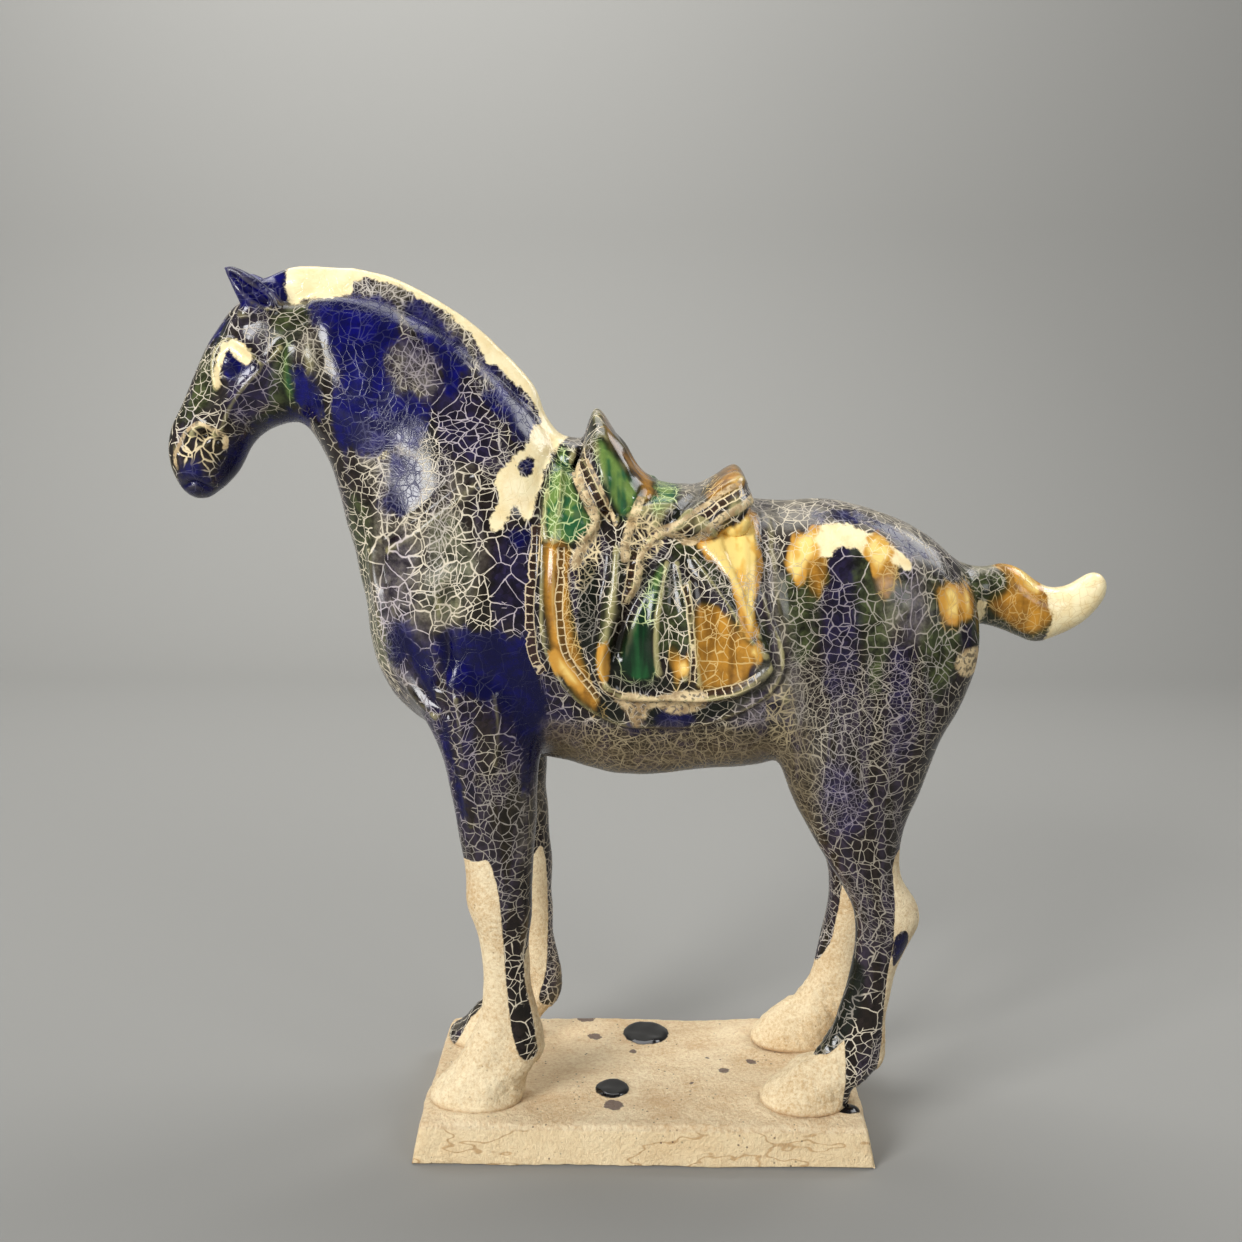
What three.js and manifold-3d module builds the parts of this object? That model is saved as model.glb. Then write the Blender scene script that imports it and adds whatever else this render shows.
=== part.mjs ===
import * as THREE from 'three';
import { mergeVertices } from 'three/addons/utils/BufferGeometryUtils.js';
import Module from 'manifold-3d';

// A glazed earthenware tomb horse, saddled and standing on a slab.
// Millimetres, +Z up, head towards -X, the horse's left side towards -Y.
// The origin is the centre of the slab's underside.

// Driving dimensions of the slab and of the horse that stands on it
const HORSE_HEIGHT = 362;
const SLAB_THICKNESS = 18;
const SLAB_FLARE = 3.5;
const SLAB_CORNER_RADIUS = 5;
const SLAB_END_MARGIN = 1.5;
const SLAB_SIDE_MARGIN = 6;
const SOLE_CLEARANCE = 0.3;

// The horse's form is drawn on a horse 362 units tall, measured from the slab's top.
// Every number below down to the end of the stations is a share of that height.
const DRAWN_HEIGHT = 362;
const UNIT = HORSE_HEIGHT / DRAWN_HEIGHT;
const HALF_STANCE = 30;
const HOOF_REACH = 95;
const HOOF_HALF_WIDTH = 17;

// Each station is one cross-section: the two ends of its outline in the side view
// as x, z, x, z, then its half width, and where it isn't the body's own, its middle in y.
const TRUNK = [
  [-121, 232, -121, 204, 12],
  [-117, 250, -115, 185, 26],
  [-106, 270, -104, 169, 36],
  [-88, 284, -88, 159, 41.5],
  [-62, 287, -64, 152, 43.5],
  [-35, 282, -38, 148, 43.5],
  [-5, 272, -8, 141, 44.5],
  [25, 266, 20, 143, 45.5],
  [52, 263, 48, 146, 46],
  [78, 263.5, 74, 153, 46],
  [100, 259, 97, 163, 45],
  [120, 249.5, 117, 174, 40],
  [134, 239, 131, 187, 30],
  [142, 229, 140, 204, 15],
];
const NECK = [
  [-30, 274, -96, 187, 40],
  [-38, 288, -116, 204, 41],
  [-46, 299, -124, 222, 38.5],
  [-58, 312, -126.5, 240, 34],
  [-73, 325.5, -130.5, 258, 30],
  [-89, 337.5, -135, 273, 27],
  [-107, 346, -140.5, 285.5, 24.5],
  [-125, 351, -147, 294.5, 22.5],
  [-142, 350, -153, 300, 20],
  [-157, 343, -158, 307, 15],
];
const HEAD = [
  [-158, 351, -134, 332, 12],
  [-168, 351, -135, 321, 17.5],
  [-178, 343, -138.5, 309, 20],
  [-185.5, 333, -146, 299, 20.5],
  [-191, 323, -156, 295.5, 19],
  [-196, 312.5, -165, 292.5, 16],
  [-201, 303.5, -170.5, 287, 13.5],
  [-206, 294, -173.8, 281, 13],
  [-207.3, 284.5, -177.5, 274.5, 12.5],
  [-205.5, 275.5, -182.5, 269, 11],
  [-201.5, 267.5, -188, 265.5, 8],
  [-197, 263.7, -191.5, 263.2, 3],
];
const MANE = [
  [-163, 357, -156, 340, 4],
  [-152, 361.5, -148, 342, 5.5],
  [-139, 362, -139, 342, 5.5],
  [-122, 360.8, -125, 342, 5.5],
  [-105, 356, -110, 337, 5.5],
  [-88, 347.6, -95, 329, 5.5],
  [-71, 335.5, -79, 318, 5.5],
  [-56, 321.5, -65, 306, 5.5],
  [-47.5, 311, -57, 296, 6],
  [-43, 299.5, -52, 285, 8],
  [-36, 291.3, -44, 276, 12],
  [-27, 289.6, -34, 271, 16],
];
const FORELEG = [
  [-106, 204, -56, 210, 13, 26],
  [-101, 185, -47, 188, 17, 27],
  [-93, 169, -44, 168, 17, 28],
  [-87, 155, -44, 152, 15.5, 29],
  [-82.6, 136, -45.5, 135, 13.5, 29.5],
  [-79, 118, -46.7, 117, 12, 30],
  [-77, 102, -48, 100, 11, 30],
  [-75.8, 88, -48.6, 86, 11, 30],
  [-72.5, 76, -50, 74, 9.5, 30],
  [-70.4, 64, -49.6, 63, 8, 30],
  [-70.2, 53, -49, 53, 7.5, 30],
  [-71, 43, -46.5, 42, 8, 30],
  [-74.5, 32.5, -43.5, 31, 9.2, 30],
  [-80, 22, -43, 21.5, 10.5, 30],
  [-87, 12, -50.5, 12, 13.5, 30],
  [-94, 4, -53, 4, 16.5, 30],
  [-95, 0, -53, 0, 17, 30],
];
const HIND_LEG = [
  [78, 220, 141, 225, 15, 22],
  [64, 195, 142.5, 208, 20, 24],
  [57.5, 170, 138.5, 185, 21, 25.5],
  [58.5, 150, 126, 160, 19.5, 27],
  [65.5, 134, 115.5, 135, 16, 28],
  [74, 118.5, 110, 118, 13, 29],
  [83.5, 102, 110.4, 103.5, 10.5, 29.5],
  [89.5, 89.5, 117.3, 90.5, 10, 30],
  [91.3, 78, 117, 79, 9.5, 30],
  [90.7, 66, 111.5, 66, 8.3, 30],
  [88.5, 54.5, 108, 54, 7.8, 30],
  [86, 44, 105.8, 42, 8, 30],
  [83, 34.5, 105, 29.5, 8.8, 30],
  [77, 25, 104, 18, 10, 30],
  [69, 19, 98, 12.5, 11.5, 30],
  [57, 9.5, 92, 7, 15, 30],
  [51.5, 2, 91, 2, 17, 30],
  [51.5, 0, 91, 0, 17, 30],
];
const TAIL = [
  [129, 236, 131, 206, 10],
  [139, 236, 140, 209, 11],
  [148, 234.8, 148.5, 208.7, 11],
  [155, 236.6, 156, 206.8, 12],
  [163, 234, 163, 204, 12.5],
  [170, 228.5, 171, 201.7, 12],
  [177, 225.6, 179, 203.5, 10.5],
  [184, 226.5, 188, 207.5, 9.5],
  [190, 230, 195, 213, 8.5],
  [195, 232.6, 200, 220, 6.5],
  [199, 231.5, 201.6, 226.5, 3],
];
const EAR = [
  [-168, 338, -152, 339, 6, 11],
  [-170, 346, -154, 347.5, 6.5, 12.5],
  [-172.5, 353, -160.5, 354.5, 5, 14],
  [-174.3, 357.5, -167.5, 358.7, 3.2, 15],
  [-175.5, 360.6, -173.2, 361, 1, 15.5],
];
const SADDLE = [
  [-29, 283, -16, 244, 29],
  [-22, 302.5, -8, 244, 33],
  [-14, 294, -2, 244, 35],
  [-5, 279, 4, 244, 37],
  [3, 272.3, 10, 244, 38],
  [14, 269.8, 18, 244, 39],
  [26, 271.2, 26, 244, 39],
  [35, 277, 31, 244, 38],
  [40, 277.6, 34, 244, 38],
  [44, 270, 36, 244, 36],
];

// Right legs stand like the left ones, but the cannons lean a little differently.
const RIGHT_FORE_SWAY = 6;
const RIGHT_HIND_SWAY = -4;
const SWAY_TOP = 125;

// Outlines of the saddlery on the flank, in the side view as x, z
const BLANKET_OUTLINE = [
  [-37, 285], [-43, 265], [-43, 204], [-35, 188], [-18, 175], [2, 174],
  [23, 174], [41, 179], [56, 199], [55, 225], [52, 285],
];
const SKIRT_OUTLINE = [
  [-12, 285], [-18, 242], [-19, 192], [-14, 186], [4, 185],
  [30, 185], [43, 188], [53, 200], [46, 235], [40, 285],
];
const LAPPET_OUTLINE = [[-33, 290], [-41, 262], [-40, 240], [-30, 232], [-19, 247], [-23, 275]];
const BLANKET_LIFT = 3;
const SKIRT_LIFT = 6;
const LAPPET_LIFT = 6;

// Rounded bars raised on the saddlery: their route in the side view, half width and height
const PLEAT_FOOT_Z = 188;
const PLEAT_FEET_X = [-15, 5, 20, 48];
const PLEAT_HALF_WIDTHS = [1.5, 5];
const PLEAT_HEIGHT = 3;
const KNOT = { x: 3, z: 248, radii: [6, 3.5, 17], pleatsFromZ: 238 };
const POMMEL_BAND = [[-27, 286], [-23, 273], [-18, 262], [-9, 252]];
const CANTLE_BAND = [[42, 269], [30, 262], [18, 256], [5, 250]];
const BAND_HALF_WIDTHS = [3, 3];
const BAND_HEIGHT = 2.5;
const BAR_RINGS = 5;
const BAR_AROUND = 6;
const TANGENT_REACH = 0.1;

// Swellings of the head, each an ellipsoid: its middle as x, y, z, and its three radii
const JOWL = { middle: [-144, 14, 321], radii: [14, 8, 14] };
const EYE = { middle: [-172, 17, 322], radii: [6, 4.5, 4.5] };
const NOSTRIL = { middle: [-197, 10, 290], radii: [7, 5, 7] };
const POLL = { middle: [-160, 0, 347], radii: [12, 9, 11] };

const wasm = await Module();
wasm.setup();

// Turn a closed three.js geometry into a solid that can be joined and cut.
function solid(geometry) {
  const bare = geometry.clone();
  bare.deleteAttribute('normal');
  bare.deleteAttribute('uv');
  const merged = mergeVertices(bare, 1e-4);
  return new wasm.Manifold(new wasm.Mesh({
    numProp: 3,
    vertProperties: new Float32Array(merged.attributes.position.array),
    triVerts: new Uint32Array(merged.index.array),
  }));
}

// Turn a joined solid back into a geometry with flat faces.
function geometryOf(manifold) {
  const mesh = manifold.getMesh();
  const geometry = new THREE.BufferGeometry();
  geometry.setAttribute('position', new THREE.BufferAttribute(mesh.vertProperties, 3));
  geometry.setIndex(new THREE.BufferAttribute(mesh.triVerts, 1));
  return geometry;
}

// Smooth curve through the values before, at, after and beyond a place between two stations
function curveThrough(before, from, to, beyond, share) {
  const bend = 2 * before - 5 * from + 4 * to - beyond;
  const twist = 3 * (from - to) + beyond - before;
  return from + 0.5 * share * (to - before + share * (bend + share * twist));
}

// The cross-section at a place between the stations, counted in stations from the first
function sectionAt(stations, place) {
  const last = stations.length - 1;
  const first = Math.min(Math.floor(place), last - 1);
  const row = (index) => stations[Math.max(0, Math.min(last, index))];
  return row(first).map((value, column) => curveThrough(
    row(first - 1)[column], value, row(first + 1)[column], row(first + 2)[column], place - first,
  ));
}

const roundPower = (value, power) => Math.sign(value) * Math.abs(value) ** power;

// A closed body carried through its stations, with flat ends. Power 1 gives elliptical
// sections, and lift moves the surface out. The places are counted in stations.
function body(stations, options = {}) {
  const { around = 12, perSpan = 2, power = 1, side = 0, lift = 0, sway = 0 } = options;
  const { start = 0, end = stations.length - 1 } = options;
  const rings = Math.round((end - start) * perSpan) + 1;
  const points = [];
  const faces = [];
  for (let ring = 0; ring < rings; ring += 1) {
    const place = start + (end - start) * ring / (rings - 1);
    const [ax, az, bx, bz, halfWidth, middleY = 0] = sectionAt(stations, place);
    const middleX = (ax + bx) / 2;
    const middleZ = (az + bz) / 2;
    const half = Math.hypot(ax - bx, az - bz) / 2;
    const grown = (half + lift) / half;
    const lean = sway * Math.sin(Math.PI * Math.min(Math.max(middleZ / SWAY_TOP, 0), 1));
    for (let step = 0; step < around; step += 1) {
      const angle = 2 * Math.PI * step / around;
      const along = roundPower(Math.cos(angle), power) * grown / 2;
      const across = roundPower(Math.sin(angle), power) * (halfWidth + lift);
      points.push(middleX + (ax - bx) * along + lean);
      points.push(middleY * side + across);
      points.push(middleZ + (az - bz) * along);
    }
  }
  const ends = [0, rings - 1].map((ring) => {
    const middle = [0, 0, 0];
    for (let step = 0; step < around; step += 1) {
      for (let axis = 0; axis < 3; axis += 1) {
        middle[axis] += points[(ring * around + step) * 3 + axis] / around;
      }
    }
    points.push(...middle);
    return points.length / 3 - 1;
  });
  for (let step = 0; step < around; step += 1) {
    const next = (step + 1) % around;
    const lastRing = (rings - 1) * around;
    faces.push(ends[0], next, step);
    faces.push(ends[1], lastRing + step, lastRing + next);
    for (let ring = 0; ring < rings - 1; ring += 1) {
      const here = ring * around;
      const there = here + around;
      faces.push(here + step, here + next, there + step);
      faces.push(here + next, there + next, there + step);
    }
  }
  return closed(points, faces);
}

// A solid from points and faces, turned inside out where its faces point in
function closed(points, faces) {
  const geometry = new THREE.BufferGeometry();
  geometry.setAttribute('position', new THREE.Float32BufferAttribute(points, 3));
  let volume = 0;
  const corner = [new THREE.Vector3(), new THREE.Vector3(), new THREE.Vector3()];
  for (let face = 0; face < faces.length; face += 3) {
    corner.forEach((vector, index) => vector.fromArray(points, faces[face + index] * 3));
    volume += corner[0].dot(corner[1].clone().cross(corner[2]));
  }
  geometry.setIndex(volume > 0 ? faces : [...faces].reverse());
  return solid(geometry);
}

// How far a body's surface lies from the middle plane at x, z in the side view
function surfaceY(stations, x, z) {
  let low = 0;
  let high = stations.length - 1;
  const depthAt = (section) => (section[1] - z) / (section[1] - section[3]);
  for (let pass = 0; pass < 24; pass += 1) {
    const section = sectionAt(stations, (low + high) / 2);
    if (section[0] + (section[2] - section[0]) * depthAt(section) < x) {
      low = (low + high) / 2;
    } else {
      high = (low + high) / 2;
    }
  }
  const section = sectionAt(stations, low);
  const height = Math.min(Math.max(1 - 2 * depthAt(section), -1), 1);
  return section[4] * Math.sqrt(1 - height * height);
}

// A panel that lies on the trunk: the trunk grown by its lift, kept inside an outline.
function panel(outline, lift) {
  const shape = new THREE.Shape(outline.map(([x, z]) => new THREE.Vector2(x, z)));
  const block = new THREE.ExtrudeGeometry(shape, { depth: 4 * TRUNK[4][4], bevelEnabled: false });
  block.translate(0, 0, -2 * TRUNK[4][4]);
  block.rotateX(Math.PI / 2);
  return body(TRUNK, { around: 20, perSpan: 1, lift, start: 3, end: 10 }).intersect(solid(block));
}

// A rounded bar that follows the surface of a body along a route, on one side
function bar(stations, route, halfWidths, height, lift, side) {
  const around = BAR_AROUND;
  const lastRing = BAR_RINGS - 1;
  const points = [];
  const faces = [];
  for (let ring = 0; ring <= lastRing; ring += 1) {
    const place = (route.length - 1) * ring / lastRing;
    const [x, z] = sectionAt(route, place);
    const [nextX, nextZ] = sectionAt(route, Math.min(place + TANGENT_REACH, route.length - 1));
    const [lastX, lastZ] = sectionAt(route, Math.max(place - TANGENT_REACH, 0));
    const run = Math.hypot(nextX - lastX, nextZ - lastZ);
    const y = surfaceY(stations, x, z) + lift;
    for (let step = 0; step < around; step += 1) {
      const angle = 2 * Math.PI * (step + 0.5) / around;
      const offset = THREE.MathUtils.lerp(...halfWidths, ring / lastRing) * Math.cos(angle);
      points.push(x - (nextZ - lastZ) / run * offset);
      points.push(side * (y + height * Math.sin(angle)));
      points.push(z + (nextX - lastX) / run * offset);
    }
  }
  for (let step = 0; step < around; step += 1) {
    const next = (step + 1) % around;
    for (let ring = 0; ring < lastRing; ring += 1) {
      const here = ring * around;
      faces.push(here + step, here + next, here + around + step);
      faces.push(here + next, here + around + next, here + around + step);
    }
    if (step > 0 && next > 0) {
      faces.push(0, next, step);
      faces.push(lastRing * around, lastRing * around + step, lastRing * around + next);
    }
  }
  return closed(points, faces);
}

// An ellipsoid on one side of the middle plane
function swelling({ middle, radii }, side) {
  const ball = new THREE.SphereGeometry(1, 10, 6);
  ball.scale(...radii);
  ball.translate(middle[0], middle[1] * side, middle[2]);
  return solid(ball);
}

function makeSaddlery() {
  const knotRoot = [KNOT.x, KNOT.pleatsFromZ];
  const pieces = [
    panel(BLANKET_OUTLINE, BLANKET_LIFT),
    panel(SKIRT_OUTLINE, SKIRT_LIFT),
    panel(LAPPET_OUTLINE, LAPPET_LIFT),
    body(SADDLE, { around: 14, power: 1.15 }),
  ];
  for (const side of [-1, 1]) {
    for (const footX of PLEAT_FEET_X) {
      const route = [knotRoot, [footX, PLEAT_FOOT_Z]];
      pieces.push(bar(TRUNK, route, PLEAT_HALF_WIDTHS, PLEAT_HEIGHT, SKIRT_LIFT, side));
    }
    pieces.push(bar(SADDLE, POMMEL_BAND, BAND_HALF_WIDTHS, BAND_HEIGHT, 0, side));
    pieces.push(bar(SADDLE, CANTLE_BAND, BAND_HALF_WIDTHS, BAND_HEIGHT, 0, side));
    const knotY = surfaceY(TRUNK, KNOT.x, KNOT.z) + SKIRT_LIFT;
    pieces.push(swelling({ middle: [KNOT.x, knotY, KNOT.z], radii: KNOT.radii }, side));
  }
  return pieces;
}

function makeHorse() {
  const pieces = [
    body(TRUNK, { around: 24 }),
    body(NECK, { around: 18 }),
    body(HEAD, { around: 14 }),
    body(MANE, { around: 8, perSpan: 1 }),
    body(TAIL, { around: 12 }),
    swelling(POLL, 0),
    ...makeSaddlery(),
  ];
  for (const side of [-1, 1]) {
    const foreSway = side > 0 ? RIGHT_FORE_SWAY : 0;
    const hindSway = side > 0 ? RIGHT_HIND_SWAY : 0;
    pieces.push(body(FORELEG, { side, sway: foreSway, perSpan: 1.5 }));
    pieces.push(body(HIND_LEG, { side, sway: hindSway, perSpan: 1.5 }));
    pieces.push(body(EAR, { side, around: 6 }));
    pieces.push(swelling(JOWL, side));
    pieces.push(swelling(EYE, side));
    pieces.push(swelling(NOSTRIL, side));
  }
  return pieces.reduce((whole, piece) => whole.add(piece));
}

// The slab: a rounded rectangle whose sides spread a little towards the ground
function makeSlab() {
  const halfLength = HOOF_REACH * UNIT + SLAB_END_MARGIN;
  const halfWidth = (HALF_STANCE + HOOF_HALF_WIDTH) * UNIT + SLAB_SIDE_MARGIN;
  const cornerSteps = 4;
  const points = [];
  const faces = [];
  for (const [z, flare] of [[0, SLAB_FLARE], [SLAB_THICKNESS, 0]]) {
    for (let corner = 0; corner < 4; corner += 1) {
      const signX = corner === 0 || corner === 3 ? 1 : -1;
      const signY = corner < 2 ? 1 : -1;
      for (let step = 0; step <= cornerSteps; step += 1) {
        const angle = (corner + step / cornerSteps) * Math.PI / 2;
        const inX = halfLength + flare - SLAB_CORNER_RADIUS;
        const inY = halfWidth + flare - SLAB_CORNER_RADIUS;
        points.push(signX * inX + SLAB_CORNER_RADIUS * Math.cos(angle));
        points.push(signY * inY + SLAB_CORNER_RADIUS * Math.sin(angle));
        points.push(z);
      }
    }
  }
  const around = 4 * (cornerSteps + 1);
  for (let step = 0; step < around; step += 1) {
    const next = (step + 1) % around;
    faces.push(step, next, around + step);
    faces.push(next, around + next, around + step);
    if (step > 0 && next > 0) {
      faces.push(0, next, step);
      faces.push(around, around + step, around + next);
    }
  }
  return closed(points, faces);
}

const glazedClay = new THREE.MeshStandardMaterial({ color: '#2c2b4c', roughness: 0.22 });
const bareClay = new THREE.MeshStandardMaterial({ color: '#dcc6a0', roughness: 0.9 });

const horse = new THREE.Mesh(geometryOf(makeHorse()), glazedClay);
horse.name = 'horse';
horse.scale.setScalar(UNIT);
horse.position.z = SLAB_THICKNESS + SOLE_CLEARANCE;

const plinth = new THREE.Mesh(geometryOf(makeSlab()), bareClay);
plinth.name = 'plinth';

const tombHorse = new THREE.Group();
tombHorse.add(horse, plinth);
export default tombHorse;
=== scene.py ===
# %% [markdown]
# # A glazed tomb horse on its slab
#
# The real thing is earthenware. Two moulded halves of a horse are luted together, and legs, ears, mane,
# tail and saddlery are added in soft clay. It stands on a slab of bare clay. Lead glazes in blue, green,
# amber and cream were poured over it, ran down in the kiln and crazed all over as they cooled.
#
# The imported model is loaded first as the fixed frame. Every size below is a share of the horse in it.

# %% Load the frame
import math
import bpy
import mathutils
import numpy as np
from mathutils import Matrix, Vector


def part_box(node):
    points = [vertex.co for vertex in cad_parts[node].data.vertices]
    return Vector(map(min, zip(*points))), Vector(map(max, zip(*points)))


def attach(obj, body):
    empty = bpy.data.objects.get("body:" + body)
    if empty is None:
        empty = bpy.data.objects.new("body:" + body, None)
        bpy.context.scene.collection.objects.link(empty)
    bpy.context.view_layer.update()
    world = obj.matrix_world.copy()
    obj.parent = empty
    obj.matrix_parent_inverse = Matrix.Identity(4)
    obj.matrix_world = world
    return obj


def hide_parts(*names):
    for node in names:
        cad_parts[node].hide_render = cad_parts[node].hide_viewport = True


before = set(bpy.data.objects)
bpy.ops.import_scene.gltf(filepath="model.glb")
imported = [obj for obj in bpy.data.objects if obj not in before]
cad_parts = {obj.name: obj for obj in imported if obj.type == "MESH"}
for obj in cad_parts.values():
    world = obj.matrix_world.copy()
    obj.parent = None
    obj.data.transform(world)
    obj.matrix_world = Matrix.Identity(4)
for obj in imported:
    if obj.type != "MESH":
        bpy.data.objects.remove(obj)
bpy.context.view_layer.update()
horse_low, horse_high = (np.array(corner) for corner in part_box("horse"))
slab_low, slab_high = (np.array(corner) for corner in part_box("plinth"))
print("horse from", horse_low.round(4), "to", horse_high.round(4))

# %% [markdown]
# The horse is drawn 362 units tall over the slab, so one unit is about a millimetre. Its side view is x
# and z, with the head towards -x, and the camera sees the half with negative y. One function turns drawn
# points into metres in the frame.

# %% Drawn units and metres
DRAWN_HEIGHT = 362.0
UNIT = (horse_high[2] - horse_low[2]) / DRAWN_HEIGHT
SLAB_TOP = slab_high[2]
MM = 0.001


def in_metres(points):
    """Drawn points times the unit, lifted by the slab's thickness."""
    return points * UNIT + np.array([0.0, 0.0, SLAB_TOP])


print("one drawn unit is", round(UNIT / MM, 4), "mm")

# %% [markdown]
# Limbs, neck and trunk are tubes with a changing section. Each one could be a chain of spheres, a sculpt
# or a profile carried along a path. The profile suits a horse seen in profile: a row states the two ends
# of the section in the side view, x z x z, then its half width and where its middle lies in y. A smooth
# spline runs through the rows, so a dozen rows give a whole leg.

# %% Profile carried along a path
def spline_rows(rows, per_span):
    """A Catmull-Rom curve through all rows at once: each span is the cubic whose slope at a row is half the
    step from the row before to the row after."""
    rows = np.array(rows, float)
    place = np.linspace(0, len(rows) - 1, (len(rows) - 1) * per_span + 1)
    first = np.minimum(place.astype(int), len(rows) - 2)
    share = (place - first)[:, None]
    padded = np.vstack([rows[:1], rows, rows[-1:]])
    before, start, end, after = (padded[first + k] for k in range(4))
    bend = 2 * before - 5 * start + 4 * end - after
    twist = 3 * (start - end) + after - before
    return start + 0.5 * share * (end - before + share * (bend + share * twist))


def closed_faces(rings, around):
    """Quads between rings of points in order, and a fan of triangles from the ring at each end to a point
    beyond it. The two points follow the rings."""
    ring, step = np.meshgrid(np.arange(rings - 1), np.arange(around), indexing="ij")
    after = (step + 1) % around
    here = ring * around
    quads = np.stack([here + step, here + after, here + around + after, here + around + step], 2)
    last = (rings - 1) * around
    fans = [[rings * around, (k + 1) % around, k] for k in range(around)]
    fans += [[rings * around + 1, last + k, last + (k + 1) % around] for k in range(around)]
    return quads.reshape(-1, 4).tolist() + fans


SWAY_TOP = 125.0


def tube(rows, side=0, around=40, per_span=6, power=1.0, sway=0.0):
    """Rings round each section: along the side view the cosine and across it the sine of the angle, each
    raised to a power, 1 for an ellipse. Sway leans the middle of a leg."""
    rows = [list(row) + [0.0] * (6 - len(row)) for row in rows]
    ax, az, bx, bz, half, middle_y = (column[:, None] for column in spline_rows(rows, per_span).T)
    angle = np.linspace(0, 2 * np.pi, around, endpoint=False)[None, :]
    along = np.sign(np.cos(angle)) * np.abs(np.cos(angle)) ** power / 2
    across = np.sign(np.sin(angle)) * np.abs(np.sin(angle)) ** power
    lean = sway * np.sin(np.pi * np.clip((az + bz) / 2 / SWAY_TOP, 0, 1))
    x = (ax + bx) / 2 + (ax - bx) * along + lean
    y = side * middle_y + half * across
    z = (az + bz) / 2 + (az - bz) * along
    points = np.stack([x, y, z], axis=2).reshape(-1, 3)
    ends = np.stack([points[:around].mean(0), points[-around:].mean(0)])
    return np.vstack([points, ends]), closed_faces(len(ax), around)


print("a short tube has", len(tube([[0, 0, 2, 0, 1], [0, 2, 2, 2, 1]])[0]), "points")

# %% Ball with single points as poles
def ball(middle, radii, side=1, around=24):
    """An ellipsoid: its radii times the sines and cosines of height and turn."""
    rows = np.linspace(0, np.pi, around // 2 + 1)[1:-1]
    turn, height = np.meshgrid(np.linspace(0, 2 * np.pi, around, endpoint=False), rows)
    shape = np.stack([np.cos(turn) * np.sin(height), np.sin(turn) * np.sin(height), -np.cos(height)], 2)
    points = np.vstack([shape.reshape(-1, 3), [[0, 0, -1]], [[0, 0, 1]]])
    points = points * radii + np.array(middle) * [1, side, 1]
    return points, closed_faces(len(rows), around)


print("a ball has", len(ball([0, 0, 0], [1, 1, 1])[0]), "points")

# %% [markdown]
# The stations of the body, in drawn units. They are the same ones that the solid was made from, so the
# glazed skin lies on it.

# %% Stations of the horse
TRUNK = [
    [-121, 232, -121, 204, 12], [-117, 250, -115, 185, 26], [-106, 270, -104, 169, 36],
    [-88, 284, -88, 159, 41.5], [-62, 287, -64, 152, 43.5], [-35, 282, -38, 148, 43.5],
    [-5, 272, -8, 141, 44.5], [25, 266, 20, 143, 45.5], [52, 263, 48, 146, 46],
    [78, 263.5, 74, 153, 46], [100, 259, 97, 163, 45], [120, 249.5, 117, 174, 40],
    [134, 239, 131, 187, 30], [142, 229, 140, 204, 15],
]
NECK = [
    [-30, 274, -96, 187, 40], [-38, 288, -116, 204, 41], [-46, 299, -124, 222, 38.5],
    [-58, 312, -126.5, 240, 34], [-73, 325.5, -130.5, 258, 30], [-89, 337.5, -135, 273, 27],
    [-107, 346, -140.5, 285.5, 24.5], [-125, 351, -147, 294.5, 22.5], [-142, 350, -153, 300, 20],
    [-157, 343, -158, 307, 15],
]
HEAD = [
    [-158, 351, -134, 332, 12], [-168, 351, -135, 321, 17.5], [-178, 343, -138.5, 309, 20],
    [-185.5, 333, -146, 299, 20.5], [-191, 323, -156, 295.5, 19], [-196, 312.5, -165, 292.5, 16],
    [-201, 303.5, -170.5, 287, 13.5], [-206, 294, -173.8, 281, 13], [-207.3, 284.5, -177.5, 274.5, 12.5],
    [-205.5, 275.5, -182.5, 269, 11], [-201.5, 267.5, -188, 265.5, 8], [-197, 263.7, -191.5, 263.2, 3],
]
MANE = [
    [-163, 357, -156, 340, 4], [-152, 361.5, -148, 342, 5.5], [-139, 362, -139, 342, 5.5],
    [-122, 360.8, -125, 342, 5.5], [-105, 356, -110, 337, 5.5], [-88, 347.6, -95, 329, 5.5],
    [-71, 335.5, -79, 318, 5.5], [-56, 321.5, -65, 306, 5.5], [-47.5, 311, -57, 296, 6],
    [-43, 299.5, -52, 285, 8], [-36, 291.3, -44, 276, 12], [-27, 289.6, -34, 271, 16],
]
FORELEG = [
    [-106, 204, -56, 210, 13, 26], [-101, 185, -47, 188, 17, 27], [-93, 169, -44, 168, 17, 28],
    [-87, 155, -44, 152, 15.5, 29], [-82.6, 136, -45.5, 135, 13.5, 29.5], [-79, 118, -46.7, 117, 12, 30],
    [-77, 102, -48, 100, 11, 30], [-75.8, 88, -48.6, 86, 11, 30], [-72.5, 76, -50, 74, 9.5, 30],
    [-70.4, 64, -49.6, 63, 8, 30], [-70.2, 53, -49, 53, 7.5, 30], [-71, 43, -46.5, 42, 8, 30],
    [-74.5, 32.5, -43.5, 31, 9.2, 30], [-80, 22, -43, 21.5, 10.5, 30], [-87, 12, -50.5, 12, 13.5, 30],
    [-94, 4, -53, 4, 16.5, 30], [-95, -0.6, -53, -0.6, 17, 30],
]
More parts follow.
